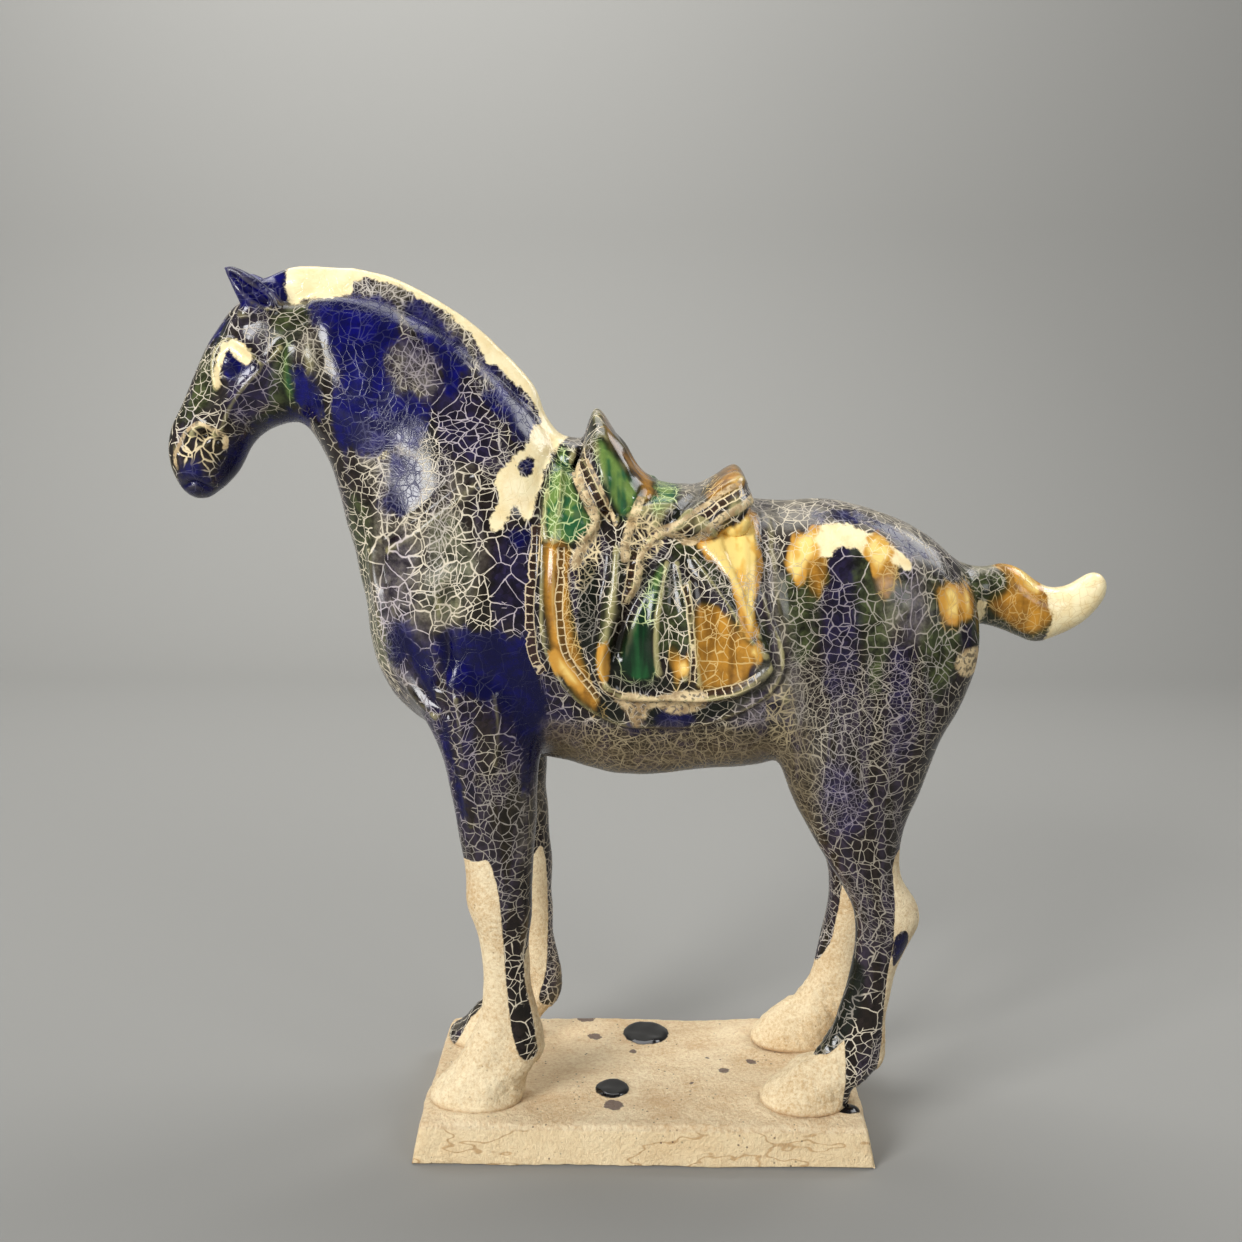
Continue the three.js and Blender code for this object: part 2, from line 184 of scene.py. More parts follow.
HIND_LEG = [
    [78, 220, 141, 225, 15, 22], [64, 195, 142.5, 208, 20, 24], [57.5, 170, 138.5, 185, 21, 25.5],
    [58.5, 150, 126, 160, 19.5, 27], [65.5, 134, 115.5, 135, 16, 28], [74, 118.5, 110, 118, 13, 29],
    [83.5, 102, 110.4, 103.5, 10.5, 29.5], [89.5, 89.5, 117.3, 90.5, 10, 30], [91.3, 78, 117, 79, 9.5, 30],
    [90.7, 66, 111.5, 66, 8.3, 30], [88.5, 54.5, 108, 54, 7.8, 30], [86, 44, 105.8, 42, 8, 30],
    [83, 34.5, 105, 29.5, 8.8, 30], [77, 25, 104, 18, 10, 30], [69, 19, 98, 12.5, 11.5, 30],
    [57, 9.5, 92, 7, 15, 30], [51.5, 2, 91, 2, 17, 30], [51.5, -0.6, 91, -0.6, 17, 30],
]
TAIL = [
    [129, 236, 131, 206, 10], [139, 236, 140, 209, 11], [148, 234.8, 148.5, 208.7, 11],
    [155, 236.6, 156, 206.8, 12], [163, 234, 163, 204, 12.5], [170, 228.5, 171, 201.7, 12],
    [177, 225.6, 179, 203.5, 10.5], [184, 226.5, 188, 207.5, 9.5], [190, 230, 195, 213, 8.5],
    [195, 232.6, 200, 220, 6.5], [199, 231.5, 201.6, 226.5, 3],
]
EAR = [
    [-168, 338, -152, 339, 6, 11], [-170, 346, -154, 347.5, 6.5, 12.5],
    [-172.5, 353, -160.5, 354.5, 5, 14], [-174.3, 357.5, -167.5, 358.7, 3.2, 15],
    [-175.5, 360.6, -173.2, 361, 1, 15.5],
]
SADDLE = [
    [-29, 283, -16, 244, 29], [-22, 302.5, -8, 244, 33], [-14, 294, -2, 244, 35], [-5, 279, 4, 244, 37],
    [3, 272.3, 10, 244, 38], [14, 269.8, 18, 244, 39], [26, 271.2, 26, 244, 39], [35, 277, 31, 244, 38],
    [40, 277.6, 34, 244, 38], [44, 270, 36, 244, 36],
]
RIGHT_FORE_SWAY = 6.0
RIGHT_HIND_SWAY = -4.0
stations = TRUNK + NECK + HEAD + MANE + FORELEG + HIND_LEG + TAIL + EAR + SADDLE
print(len(stations), "stations")

# %% [markdown]
# The tubes overlap. A potter wipes such joins smooth with a wet finger. Here a voxel remesh lays one skin
# over all of them, and relaxing that skin near the joins is the wet finger: each point moves towards the
# mean of its neighbours, many times over where the blend is wide.

# %% One skin over many shells
def new_mesh(name, points, faces):
    """A mesh from rows of points and faces."""
    mesh = bpy.data.meshes.new(name)
    mesh.from_pydata(points.tolist(), [], faces if isinstance(faces, list) else faces.tolist())
    return mesh


def placed(name, data):
    """An object with this data, linked into the scene."""
    holder = bpy.data.objects.new(name, data)
    bpy.context.scene.collection.objects.link(holder)
    return holder


def through_modifier(kind, points, faces, corners, settings):
    """Points and faces after one modifier, whose faces all have this many corners."""
    mesh = new_mesh("work", points, faces)
    holder = placed("work", mesh)
    modifier = holder.modifiers.new("work", kind)
    for name, value in settings.items():
        setattr(modifier, name, value)
    graph = bpy.context.evaluated_depsgraph_get()
    made = bpy.data.meshes.new_from_object(holder.evaluated_get(graph))
    places = np.empty(len(made.vertices) * 3, np.float32)
    made.vertices.foreach_get("co", places)
    numbers = np.empty(len(made.loops), np.int32)
    made.loops.foreach_get("vertex_index", numbers)
    bpy.data.objects.remove(holder)
    bpy.data.meshes.remove(mesh)
    bpy.data.meshes.remove(made)
    return places.reshape(-1, 3).astype(float), numbers.reshape(-1, corners)


def fused(shells, cell):
    """The outer skin of closed shells that overlap, on a grid of the given cell, as points and quads."""
    starts = np.cumsum([0] + [len(points) for points, _ in shells])
    points = np.vstack([points for points, _ in shells])
    faces = [[index + start for index in face] for start, (_, part) in zip(starts, shells) for face in part]
    return through_modifier("REMESH", points, faces, 4, {"mode": "VOXEL", "voxel_size": cell})


print("a ball of 5 units, fused, has", len(fused([ball([0, 0, 0], [5, 5, 5])], 1.0)[0]), "points")

# %% Relaxing and soft steps
def edges_of(faces):
    """Each edge of the faces once, as two point numbers in rising order."""
    corners = faces.shape[1]
    pairs = np.vstack([faces[:, [k, (k + 1) % corners]] for k in range(corners)])
    return np.unique(np.sort(pairs, axis=1), axis=0)


def relaxed(points, edges, weight, rounds):
    """Each point moves by its weight towards the mean of its neighbours, this many times."""
    near, far = edges.T
    many = len(points)
    count = np.bincount(edges.ravel(), minlength=many)
    for _ in range(rounds):
        sums = [np.bincount(near, row[far], many) + np.bincount(far, row[near], many) for row in points.T]
        points = points + weight[:, None] * ((sums / count).T - points)
    return points


def even(points, weight=0.5):
    """The same weight for all points."""
    return np.full(len(points), weight)


def step_up(value, low, high):
    """0 below low, 1 above high, and a smooth S between them."""
    share = np.clip((value - low) / (high - low), 0, 1)
    return share * share * (3 - 2 * share)


def step_down(value, low, high):
    """1 below low, 0 above high, and a smooth S between them."""
    return step_up(-value, -high, -low)


def hill(value, width):
    """1 at zero, falling off as a bell of this half width."""
    return np.exp(-((value / width) ** 2))


def dome(x, z, middle, width):
    """The bell over the distance to a point of the side view."""
    return hill(np.hypot(x - middle[0], z - middle[1]), width)


print("halfway up a step is", step_up(0.5, 0, 1))

# %% Fuse the body
SIDES = (-1, 1)
BODY_CELL = 1.3
shells = [tube(TRUNK, around=72), tube(NECK, around=60), tube(HEAD, around=48), tube(TAIL, around=36)]
shells += [tube(FORELEG, side=side, sway=RIGHT_FORE_SWAY * (side > 0)) for side in SIDES]
shells += [tube(HIND_LEG, side=side, sway=RIGHT_HIND_SWAY * (side > 0)) for side in SIDES]
body, body_quads = fused(shells, BODY_CELL)
body_edges = edges_of(body_quads)
print("the body's skin has", len(body), "points")

# %% Wet finger over the joins
THROAT_JOIN = (-150, 318)
DOCK = (140, 224)
JOIN_WEIGHT = 0.6
JOIN_ROUNDS = 110

# Two numbers are a range, here and below, over which a region fades in or out
SHOULDER_LOW, SHOULDER_TOP = (128, 170), (235, 262)
SHOULDER_REAR = (-45, -28)
THIGH_LOW, THIGH_TOP = (138, 160), (225, 250)
THIGH_FRONT, THIGH_REAR = (48, 62), (136, 150)

body = relaxed(body, body_edges, even(body), rounds=4)
x, y, z = body.T
at_shoulder = step_up(z, *SHOULDER_LOW) * step_down(x, *SHOULDER_REAR) * step_down(z, *SHOULDER_TOP)
at_thigh = step_up(z, *THIGH_LOW) * step_up(x, *THIGH_FRONT)
at_thigh = at_thigh * step_down(z, *THIGH_TOP) * step_down(x, *THIGH_REAR)
near_joins = at_shoulder + at_thigh + dome(x, z, THROAT_JOIN, 22) + dome(x, z, DOCK, 10)
joins = JOIN_WEIGHT * np.clip(near_joins, 0, 1)
body = relaxed(body, body_edges, joins, JOIN_ROUNDS)
print("joins relaxed over", int((joins > JOIN_WEIGHT / 2).sum()), "points")

# %% [markdown]
# Mane, ears, saddle and eyes stay crisp, so they join the relaxed body afterwards, on a finer grid. The
# hogged mane is a thin wall along the neck. The saddle is a trough with a high pommel and a lower cantle.

# %% Join the crisp forms
FINE_CELL = 1.0
POLL = ((-160, 0, 346), (12, 10, 11.5))
MUZZLE = ((-197, 0, 285), (9, 12, 14))
EYE = ((-173.5, 17.4, 321), (4.6, 3.2, 4.6))
EAR_ROOT = ((-166.5, 13.5, 341), (5, 5, 4.5))
shells = [(body, body_quads.tolist()), tube(MANE, around=28), tube(SADDLE, around=72, power=1.15)]
shells += [tube(EAR, side=side, around=24) for side in SIDES] + [ball(*POLL), ball(*MUZZLE)]
for side in SIDES:
    shells += [ball(*EYE, side), ball(*EAR_ROOT, side)]
skin, quads = fused(shells, FINE_CELL)
edges = edges_of(quads)
skin = relaxed(skin, edges, even(skin), rounds=3)
print("the skin has", len(skin), "points")

# %% [markdown]
# Saddlery, folds and features are drawn in the side view, as on a potter's sketch, and pushed out of the
# skin along its normals. An outline raises a panel, a route raises a cord or presses a groove. Both need
# only the distance from every point of the skin to the drawing, which numpy gives for all points at once.

# %% Distance to a drawing
def smooth_route(route, closed=False, per_span=5):
    """The spline through a route's points, back to its start where it is closed."""
    rows = np.array(route, float)
    if not closed:
        return spline_rows(rows, per_span)
    count = len(rows)
    laps = spline_rows(np.vstack([rows[-1:], rows, rows[:2]]), per_span)
    return laps[per_span:per_span * (count + 1)]


def away_from(x, z, line, closed=False):
    """Distance from each point to the nearest leg of a line: its offset from the leg less the part along
    the leg, kept between the leg's two ends."""
    starts = line if closed else line[:-1]
    ends = np.roll(line, -1, axis=0) if closed else line[1:]
    nearest = np.full(len(x), 1e9)
    for (ax, az), (bx, bz) in zip(starts, ends):
        run_x, run_z = bx - ax, bz - az
        share = np.clip(((x - ax) * run_x + (z - az) * run_z) / (run_x ** 2 + run_z ** 2 + 1e-9), 0, 1)
        nearest = np.minimum(nearest, (x - ax - share * run_x) ** 2 + (z - az - share * run_z) ** 2)
    return np.sqrt(nearest)


def inside(x, z, outline):
    """Distance to an outline, positive inside: a point is inside where a level line from it crosses the
    outline an odd number of times."""
    line = smooth_route(outline, closed=True)
    crossings = np.zeros(len(x), bool)
    for (ax, az), (bx, bz) in zip(line, np.roll(line, -1, axis=0)):
        straddles = (az > z) != (bz > z)
        if az != bz:
            crossings ^= straddles & (x < (bx - ax) * (z - az) / (bz - az) + ax)
    return away_from(x, z, line, closed=True) * np.where(crossings, 1, -1)


def to_route(x, z, route):
    """Distance from each point to the smooth curve through a route."""
    return away_from(x, z, smooth_route(route))


SQUARE = [(-1, -1), (1, -1), (1, 1), (-1, 1)]
print("a square holds its middle by", inside(np.zeros(1), np.zeros(1), SQUARE))

# %% Panels, cords and grooves
def normals_of(points, faces):
    """At each point the sum of its faces' normals. Each is the cross product of the steps from the first
    corner to the third and from the second to the last, the diagonals of a quad."""
    a, b, c, d = (points[faces[:, corner]] for corner in (0, 1, 2, -1))
    face = np.cross(c - a, d - b) if faces.shape[1] == 4 else np.cross(b - a, c - a)
    total = np.stack([
        sum(np.bincount(corner, face[:, axis], len(points)) for corner in faces.T) for axis in range(3)
    ], 1)
    return total / np.linalg.norm(total, axis=1, keepdims=True)


def pushed(points, faces, lift):
    """Each point moved out along its normal by its lift."""
    return points + normals_of(points, faces) * lift[:, None]


def panels(x, z, rows):
    """The sum of panels. A row is a height, an outline, and the two distances inside its edge between which
    the panel rises."""
    return sum(height * step_up(inside(x, z, outline), low, high) for height, outline, low, high in rows)


def cords(x, z, routes, half_width):
    """One rounded cord along each route, where two meet the higher of them."""
    return np.max([hill(to_route(x, z, route), half_width) for route in routes], axis=0)


def worked(x, z, rows):
    """The sum of cords. A row is a height, negative for a groove, its routes and its half width."""
    return sum(height * cords(x, z, routes, half_width) for height, routes, half_width in rows)


in_square = cords(np.zeros(1), np.zeros(1), [SQUARE], 1.0)
print("a cord round the square is", in_square.round(2), "high in its middle")

# %% [markdown]
# The saddle blanket hangs over both flanks, with a turned edge. A leaf-shaped lappet lies over its front,
# a skirt with a rolled rim over its middle, and from a rough knot a cloth falls over the skirt in sharp
# pleats. Two bands follow the pommel's front and the cantle's lower edge.

# %% Drawing of the saddlery
BLANKET = [
    (-36, 296), (-40, 284), (-43, 270), (-43.5, 241), (-44, 222), (-43, 208), (-39, 197), (-33, 187),
    (-25, 179), (-17, 174.5), (-8, 171.5), (6, 170.5), (22, 171), (33, 175), (44, 180), (52, 186),
    (57, 194), (57, 206), (51, 222), (48, 241), (48, 262), (46, 296),
]
LAPPET = [
    (-35, 292), (-40, 278), (-43, 265), (-42, 248), (-34, 246), (-24, 247), (-18, 257), (-23, 272),
    (-29, 290),
]
SKIRT = [
    (-9, 262), (-14, 241), (-18, 224), (-20, 208), (-20, 196), (-17, 187), (-10, 184), (10, 183.5),
    (30, 184), (42, 187), (53, 197), (46, 216), (34, 240), (26, 258),
]
CLOTH = [
    (6, 244), (-2, 231), (-9, 221), (-13, 208), (-15, 190), (5, 187), (30, 187), (44, 191), (53, 198),
    (40, 216), (20, 240),
]
YELLOW_FLAP = [
    (23, 246), (34, 254), (42, 260), (46, 254), (46, 236), (46, 220), (43, 212), (38, 224), (30, 237),
]
BORDER_RIDGE = [(-36, 284), (-36, 266), (-37, 245), (-37, 222), (-34, 206), (-28, 196), (-19, 184)]
RIDGE = [(-12, 243), (-12, 232), (-13.5, 220), (-16, 208), (-17.5, 198), (-15, 191)]
GAP = [(3, 237), (-3, 227), (-8, 216), (-11.5, 203)]
SKIRT_RIM = [(-15, 191), (-9, 186.5), (4, 185), (23, 185), (39, 189), (51, 197.5)]
PLEATS = [
    [(9, 238), (6, 222), (5, 208), (6, 196)], [(13, 238), (18, 218), (19, 202), (17, 194)],
    [(18, 231), (20.5, 210), (22.5, 192)], [(20, 240), (33, 224), (43, 209.5), (49, 203)],
]
DRAPES = [[(40, 256), (41, 240), (40, 228)], [(22, 242), (30, 233), (39, 222), (47, 211)]]
LEAF_LINE = [(-36, 286), (-36, 273), (-35, 257)]
LEAF_SWELLING = (-28.5, 257)
POMMEL_RIM = [(-17.5, 299), (-15, 293), (-10, 285), (-3.5, 277), (3, 270)]
POMMEL_FACE = [
    (-19, 290), (-15, 288), (-9, 279), (-3, 273), (0, 267), (-3, 262), (-9, 262), (-14, 270),
    (-18, 281),
]
UNDER_SEAT = [(10, 257), (16, 261), (23, 267)]
KNOT_NET = [
    (-1, 267), (3, 260), (8, 255), (8, 247), (4, 242), (1, 238), (-3, 231), (-7, 222), (-9, 224),
    (-8, 240), (-9, 250), (-6, 260),
]
GIRTH = [(52, 270), (52, 250), (53.5, 232), (56, 215), (58, 200)]
FLANK_KNOB = (58, 184)
STRAP_FOLD = [(-105, 244), (-94, 251), (-84, 259), (-75, 266), (-70, 270)]

# Strands of slip, and double lines with rungs between them like ladders, each a route and its half width
STRANDS = [
    ([(-30, 286), (-29, 277), (-26, 269), (-23, 263), (-20, 257), (-22, 251), (-26, 245), (-28, 240)], 2.0),
    ([(-24, 281), (-20, 274), (-17, 267), (-14, 260), (-12, 255)], 0.8),
    ([(-2, 265), (-4, 260), (-6, 254), (-8, 248), (-8, 242)], 1.8),
    ([(45, 266), (38, 262), (31, 258), (24, 252), (18, 248), (13, 251), (6, 253)], 1.7),
    ([(39, 272), (33, 269), (26, 264), (19, 260), (13, 256), (7, 254)], 1.0),
    ([(6, 253), (4, 249), (-1, 244), (-2, 238), (-3, 231), (-7, 225)], 1.2),
]
LADDERS = [
    ([(-27, 286), (-26, 280), (-23, 273), (-20, 267), (-17, 261), (-13, 257)], 1.8),
    ([(41, 269), (37, 267), (31, 264), (26, 260), (20, 257), (15, 253), (11, 253)], 1.5),
    ([(-4, 246), (-5, 240), (-6, 233), (-7, 228), (-8, 223)], 1.6),
    ([(-44, 256), (-45, 246), (-46, 235), (-47, 225), (-47, 212), (-46, 202), (-42, 193)], 1.9),
    ([(-34, 247), (-34, 235), (-35, 225), (-34, 213), (-32, 202), (-25, 192), (-19, 184)], 1.4),
    ([(-20, 196), (-16, 189), (-11, 186), (-4, 184)], 1.7),
    ([(24, 186), (33, 188), (40, 190), (47, 194)], 1.8),
    ([(16, 232), (18, 224), (19, 214), (20, 202), (19.5, 191)], 1.1),
]
ENGRAVED_LADDERS = 3

# Panels that end under the seat and others, then cords, as rows for the two sums
HUNG_PANELS = [(2.0, BLANKET, -0.4, 1.2), (1.8, LAPPET, -0.4, 1.4)]
LAID_PANELS = [(1.6, SKIRT, -0.3, 1.4), (1.2, YELLOW_FLAP, -0.4, 1.2), (-2.0, POMMEL_FACE, -0.5, 3)]
SADDLE_CORDS = [
    (0.9, [BORDER_RIDGE], 1.5), (1.4, [SKIRT_RIM], 1.6), (2.4, [RIDGE], 2.6), (-2.4, [GAP], 2.4),
    (1.0, DRAPES, 1.5), (0.8, [LEAF_LINE], 1.1), (1.3, [POMMEL_RIM], 1.6), (-2.4, [UNDER_SEAT], 2.0),
    (1.2, [GIRTH], 3.0),
]
SADDLE_CORDS += [(1.0, [route], half_width) for route, half_width in STRANDS]
SADDLE_CORDS += [(-0.5, [route], half_width) for route, half_width in LADDERS[:ENGRAVED_LADDERS]]
print(len(STRANDS), "strands and", len(LADDERS), "ladders")

# %% Raise the saddlery
FLANK = (12, 22)
CLOTH_LOW = (165, 172)
SEAT_LOW = (284, 296)


def saddled_side(y, z):
    """1 on the flanks under the saddle, 0 on the back and under the belly."""
    return step_up(np.abs(y), *FLANK) * step_up(z, *CLOTH_LOW)


x, y, z = skin.T
lift = panels(x, z, HUNG_PANELS) * step_down(z, *SEAT_LOW) + panels(x, z, LAID_PANELS)
lift += worked(x, z, SADDLE_CORDS)
nearest_pleat = np.min([to_route(x, z, pleat) for pleat in PLEATS], axis=0)
in_cloth = step_up(inside(x, z, CLOTH), -1, 3)
lift += 1.5 * hill(nearest_pleat, 1.1) - in_cloth * step_up(nearest_pleat, 1.2, 5)
lift += 1.4 * dome(x, z, LEAF_SWELLING, 5.5) + 2.0 * dome(x, z, FLANK_KNOB, 5.0)
lift *= saddled_side(y, z)
strap = 1.5 * cords(x, z, [STRAP_FOLD], 2.4) - 1.1 * cords(x + 2, z - 5, [STRAP_FOLD], 1.8)
lift += step_up(np.abs(y), 10, 18) * strap
skin = pushed(skin, quads, lift)
print("saddlery raised by up to", lift.max().round(2))

# %% [markdown]
# The head has a ball of an eye under a heavy lid, a bony crest down the cheek, a round jowl with a furrow
# behind it, flared nostrils and a short mouth slit. The ears are hollow leaves.

# %% Features of the head
BROW = [
    (-180, 311), (-180.5, 320), (-178.5, 327), (-174, 330.5), (-168.5, 328.5), (-164.5, 325),
    (-161, 321.5),
]
UNDER_EYE = [(-178, 314), (-172, 313.5), (-166, 317)]
CHEEK_CREST = [(-152, 327), (-160, 319), (-169, 310), (-176, 301), (-180, 294)]
JOWL_FURROW = [(-141, 340), (-136, 333), (-133.5, 320), (-134, 308)]
MOUTH = [(-200, 269), (-194, 271), (-189, 268.5), (-184, 266)]
FACE_HOLES = [(-199, 284), (-181.5, 289)]
NOSTRIL = (-188, 291)
EAR_HOLLOW = [
    (-173, 358), (-170, 352.5), (-163, 346.5), (-157, 344), (-157, 348), (-164, 353.5), (-170, 358),
]
MANE_NOTCH = [(-143.5, 349), (-142.5, 343), (-143, 338)]
JOWL = (-146, 320)
LIDS = [(2.0, [BROW], 1.6), (0.1, [UNDER_EYE], 1.5)]
FACE_CORDS = [
    (1.6, [CHEEK_CREST], 1.9), (-1.6, [JOWL_FURROW], 3.0), (-1.2, [MANE_NOTCH], 1.2),
    (-1.4, [MOUTH], 1.0),
]
HEAD_REAR = (-127, -119)
OFF_MIDDLE = (4, 9)
EYE_SIDE = 10
EAR_SIDE = 11
NOSTRIL_RING = 4.2
EAR_DEPTH = 2.6

x, y, z = skin.T
nostril = np.hypot((x - NOSTRIL[0]) * 0.9, z - NOSTRIL[1])
lift = worked(x, z, LIDS) * (np.abs(y) > EYE_SIDE) + worked(x, z, FACE_CORDS)
lift += 1.5 * step_down(np.hypot(x - JOWL[0], z - JOWL[1]), 6, 14)
lift += 1.3 * hill(nostril - NOSTRIL_RING, 1.4) * (z > NOSTRIL[1] - 1) - 3.4 * hill(nostril, 2.2)
lift -= 1.3 * sum(dome(x, z, hole, 1.4) for hole in FACE_HOLES)
lift *= step_down(x, *HEAD_REAR) * step_up(np.abs(y), *OFF_MIDDLE)
hollow = step_up(inside(x, z, EAR_HOLLOW), -0.5, 1.6) * (np.abs(y) > EAR_SIDE)
skin = pushed(skin, quads, lift)
skin[:, 1] -= EAR_DEPTH * hollow * np.sign(y)
print("head worked between", lift.min().round(2), "and", lift.max().round(2))

# %% [markdown]
# The body is built up by hand, so the breast hangs in folds, the shoulder has a hollow and ribs run down
# the forearm, the throat swells behind the jowl, knees and hocks are bony, and the hooves are domes of
# clay. A little unevenness, a sum of slow waves in seeded directions, keeps any surface from being a
# perfect tube.

# %% Muscles, joints and hooves
BREAST_CLEFT = [(-110, 244), (-111.5, 237), (-110.5, 230)]
BREAST_FOLD = [(-116, 243), (-114, 228), (-111, 212), (-105, 196), (-95, 182), (-86, 176)]
THROAT = [(-141, 338), (-136, 320), (-131, 303)]
SHOULDER_HOLLOW = [(-81, 228), (-81, 218), (-82, 208), (-82, 199), (-85, 190)]
FOREARM_RIBS = [
    [(-78, 183), (-76, 165), (-75, 145), (-73, 128)], [(-62, 184), (-61, 170), (-62, 156)],
    [(-87, 176), (-83, 160), (-80, 140)],
]
HIND_CROWN = [(60, 15), (72, 21.5), (88, 19), (92, 8)]
HOOF_ROUNDS = 14
HOOF_REAR = (-40, -30)
HOOF_LOW, HOOF_TOP = (2, 5), (26, 34)
PASTERN_LOW, PASTERN_TOP = (1, 4), (24, 44)
BEHIND_JOWL = (-127, 316)
JOWL_ROUNDS = 30
THROAT_REAR = (-147, -134)
THROAT_SWELL = 3.2
KNEE = (-75, 92)
HOCK = (116, 84)
SIDE_CORDS = [
    (1.5, [BREAST_FOLD], 2.2), (-2.0, [BREAST_CLEFT], 1.5), (-2.4, [SHOULDER_HOLLOW], 2.6),
    (0.9, FOREARM_RIBS, 1.7),
]
chance = np.random.default_rng(7)


def slow_waves(points, length, count=10):
    """The mean of sines along random directions, with wavelengths about the given length."""
    ways = chance.normal(size=(count, 3))
    ways *= 2 * np.pi / (length * chance.uniform(0.7, 1.6, count) * np.linalg.norm(ways, axis=1))[:, None]
    return np.sin(points @ ways.T + chance.uniform(0, 2 * np.pi, count)).mean(1)


x, y, z = skin.T
fore_hoof = step_down(x, *HOOF_REAR) * step_up(z, *HOOF_LOW) * step_down(z, *HOOF_TOP)
skin = relaxed(skin, edges, JOIN_WEIGHT * fore_hoof, HOOF_ROUNDS)
behind_jowl = hill(np.hypot(x - BEHIND_JOWL[0], (z - BEHIND_JOWL[1]) / 1.6), 9)
behind_jowl = behind_jowl * step_up(np.abs(y), 6, 12)
skin = relaxed(skin, edges, JOIN_WEIGHT * behind_jowl, JOWL_ROUNDS)
x, y, z = skin.T
swell = cords(x, z, [THROAT], 13) * step_up(np.abs(y), 5, 13) * step_up(x, *THROAT_REAR)
skin = pushed(skin, quads, THROAT_SWELL * swell)
x, y, z = skin.T
below_fold = 1.3 * cords(x - 4, z - 1, [BREAST_FOLD], 2.4)
lift = step_up(np.abs(y), 10, 20) * (worked(x, z, SIDE_CORDS) - below_fold)
lift += dome(x, z, KNEE, 8) + 0.8 * dome(x, z, HOCK, 6) - 0.9 * cords(x, z, [HIND_CROWN], 1.8)
lift += 1.2 * slow_waves(skin, 40) + 0.5 * slow_waves(skin, 14) * step_up(z, 8, 20)
at_hoof = step_up(z, *PASTERN_LOW) * step_down(z, *PASTERN_TOP)
lift += at_hoof * (2.2 * slow_waves(skin, 12) + 0.7 * slow_waves(skin, 4))
in_knot = step_up(inside(x, z, KNOT_NET), -1, 2) * saddled_side(y, z)
lift += in_knot * 2.0 * slow_waves(skin, 5)
skin = pushed(skin, quads, lift)
skin = relaxed(skin, edges, even(skin, weight=0.3), rounds=1)
print("hand work moves the skin by", np.abs(lift).mean().round(2), "on average")

# %% [markdown]
# The fine skin has more faces than it needs. Collapsing edges keeps them where the form turns and thins
# them out where it is flat, down to what a part in the library may have. Two soft measures are taken from
# the result. The crest is how far a point stands out of its relaxed surroundings. Glaze runs thin off
# ridges and pools in hollows, and the colours drawn from the crest are also a painted highlight on ridges
# and painted shade in hollows. The facing says which way the broad form looks.

# %% Thin out, then measure crests and facing
MOST_TRIANGLES = 194000
skin, triangles = through_modifier("DECIMATE", skin, quads, 3, {
    "ratio": MOST_TRIANGLES / (2 * len(quads)), "use_collapse_triangulate": True,
})
edges = edges_of(triangles)
half = even(skin)
out_of_skin = normals_of(skin, triangles)
crest = ((skin - relaxed(skin, edges, half, rounds=8)) * out_of_skin).sum(1)
facing = np.abs(relaxed(out_of_skin, edges, half, rounds=60))
facing /= np.linalg.norm(facing, axis=1, keepdims=True)
print(len(triangles), "triangles, crests up to", crest.max().round(2), "mm")

# %% [markdown]
# The colours follow the photographed side. Each glaze was a pool or a splash, so each is drawn as
# outlines in the side view, and so are a few patches of painted shade and painted sheen. The far side has
# the same ones, moved a little, and the move grows from the middle outwards so that no seam shows on the
# back. What is stored on the skin is the distance to the nearest edge, positive inside, in drawn units.
# The shader turns it into an edge that drips.

# %% Outlines of the glazes on head and neck
MANE_CREAM = [
    (-149.5, 345.5), (-143, 348), (-136, 347.5), (-131, 348), (-125, 350.5), (-124.5, 355),
    (-119, 356.5), (-112, 356), (-104, 353), (-93, 348), (-85, 343), (-78, 337), (-73, 331), (-70, 326),
    (-68, 321.5), (-63, 320), (-58, 315), (-53, 311), (-49, 307), (-46, 301), (-41, 291), (-34, 294),
    (-40, 310), (-62, 338), (-92, 360), (-125, 372), (-150, 372), (-152.5, 356),
]
WITHERS_CREAM = [
    (-46, 296), (-34, 296), (-34, 290), (-38, 285), (-42, 277), (-44, 269), (-46, 261), (-49, 256),
    (-51, 259), (-54, 263), (-56, 257), (-58.5, 252.5), (-62.5, 253), (-63.5, 258), (-60, 264),
    (-60, 268), (-62, 272), (-60, 276), (-55, 281), (-50, 286),
]
WITHERS_DROP = [(-52, 281), (-48, 282), (-45.5, 278), (-49, 274.5), (-52.5, 277)]
NECK_FLECK = [(-111, 281), (-108, 284.5), (-106.5, 284), (-108.5, 281)]
EYE_CREAMS = [
    [(-174.5, 328), (-176.5, 329), (-178.5, 326), (-180, 321), (-180.3, 312), (-178.2, 311),
     (-178, 318), (-176, 325)],
    [(-175, 329), (-171, 330.5), (-167, 328.5), (-164.5, 326), (-164, 323), (-167, 320.5), (-170, 323),
     (-172.5, 326)],
]
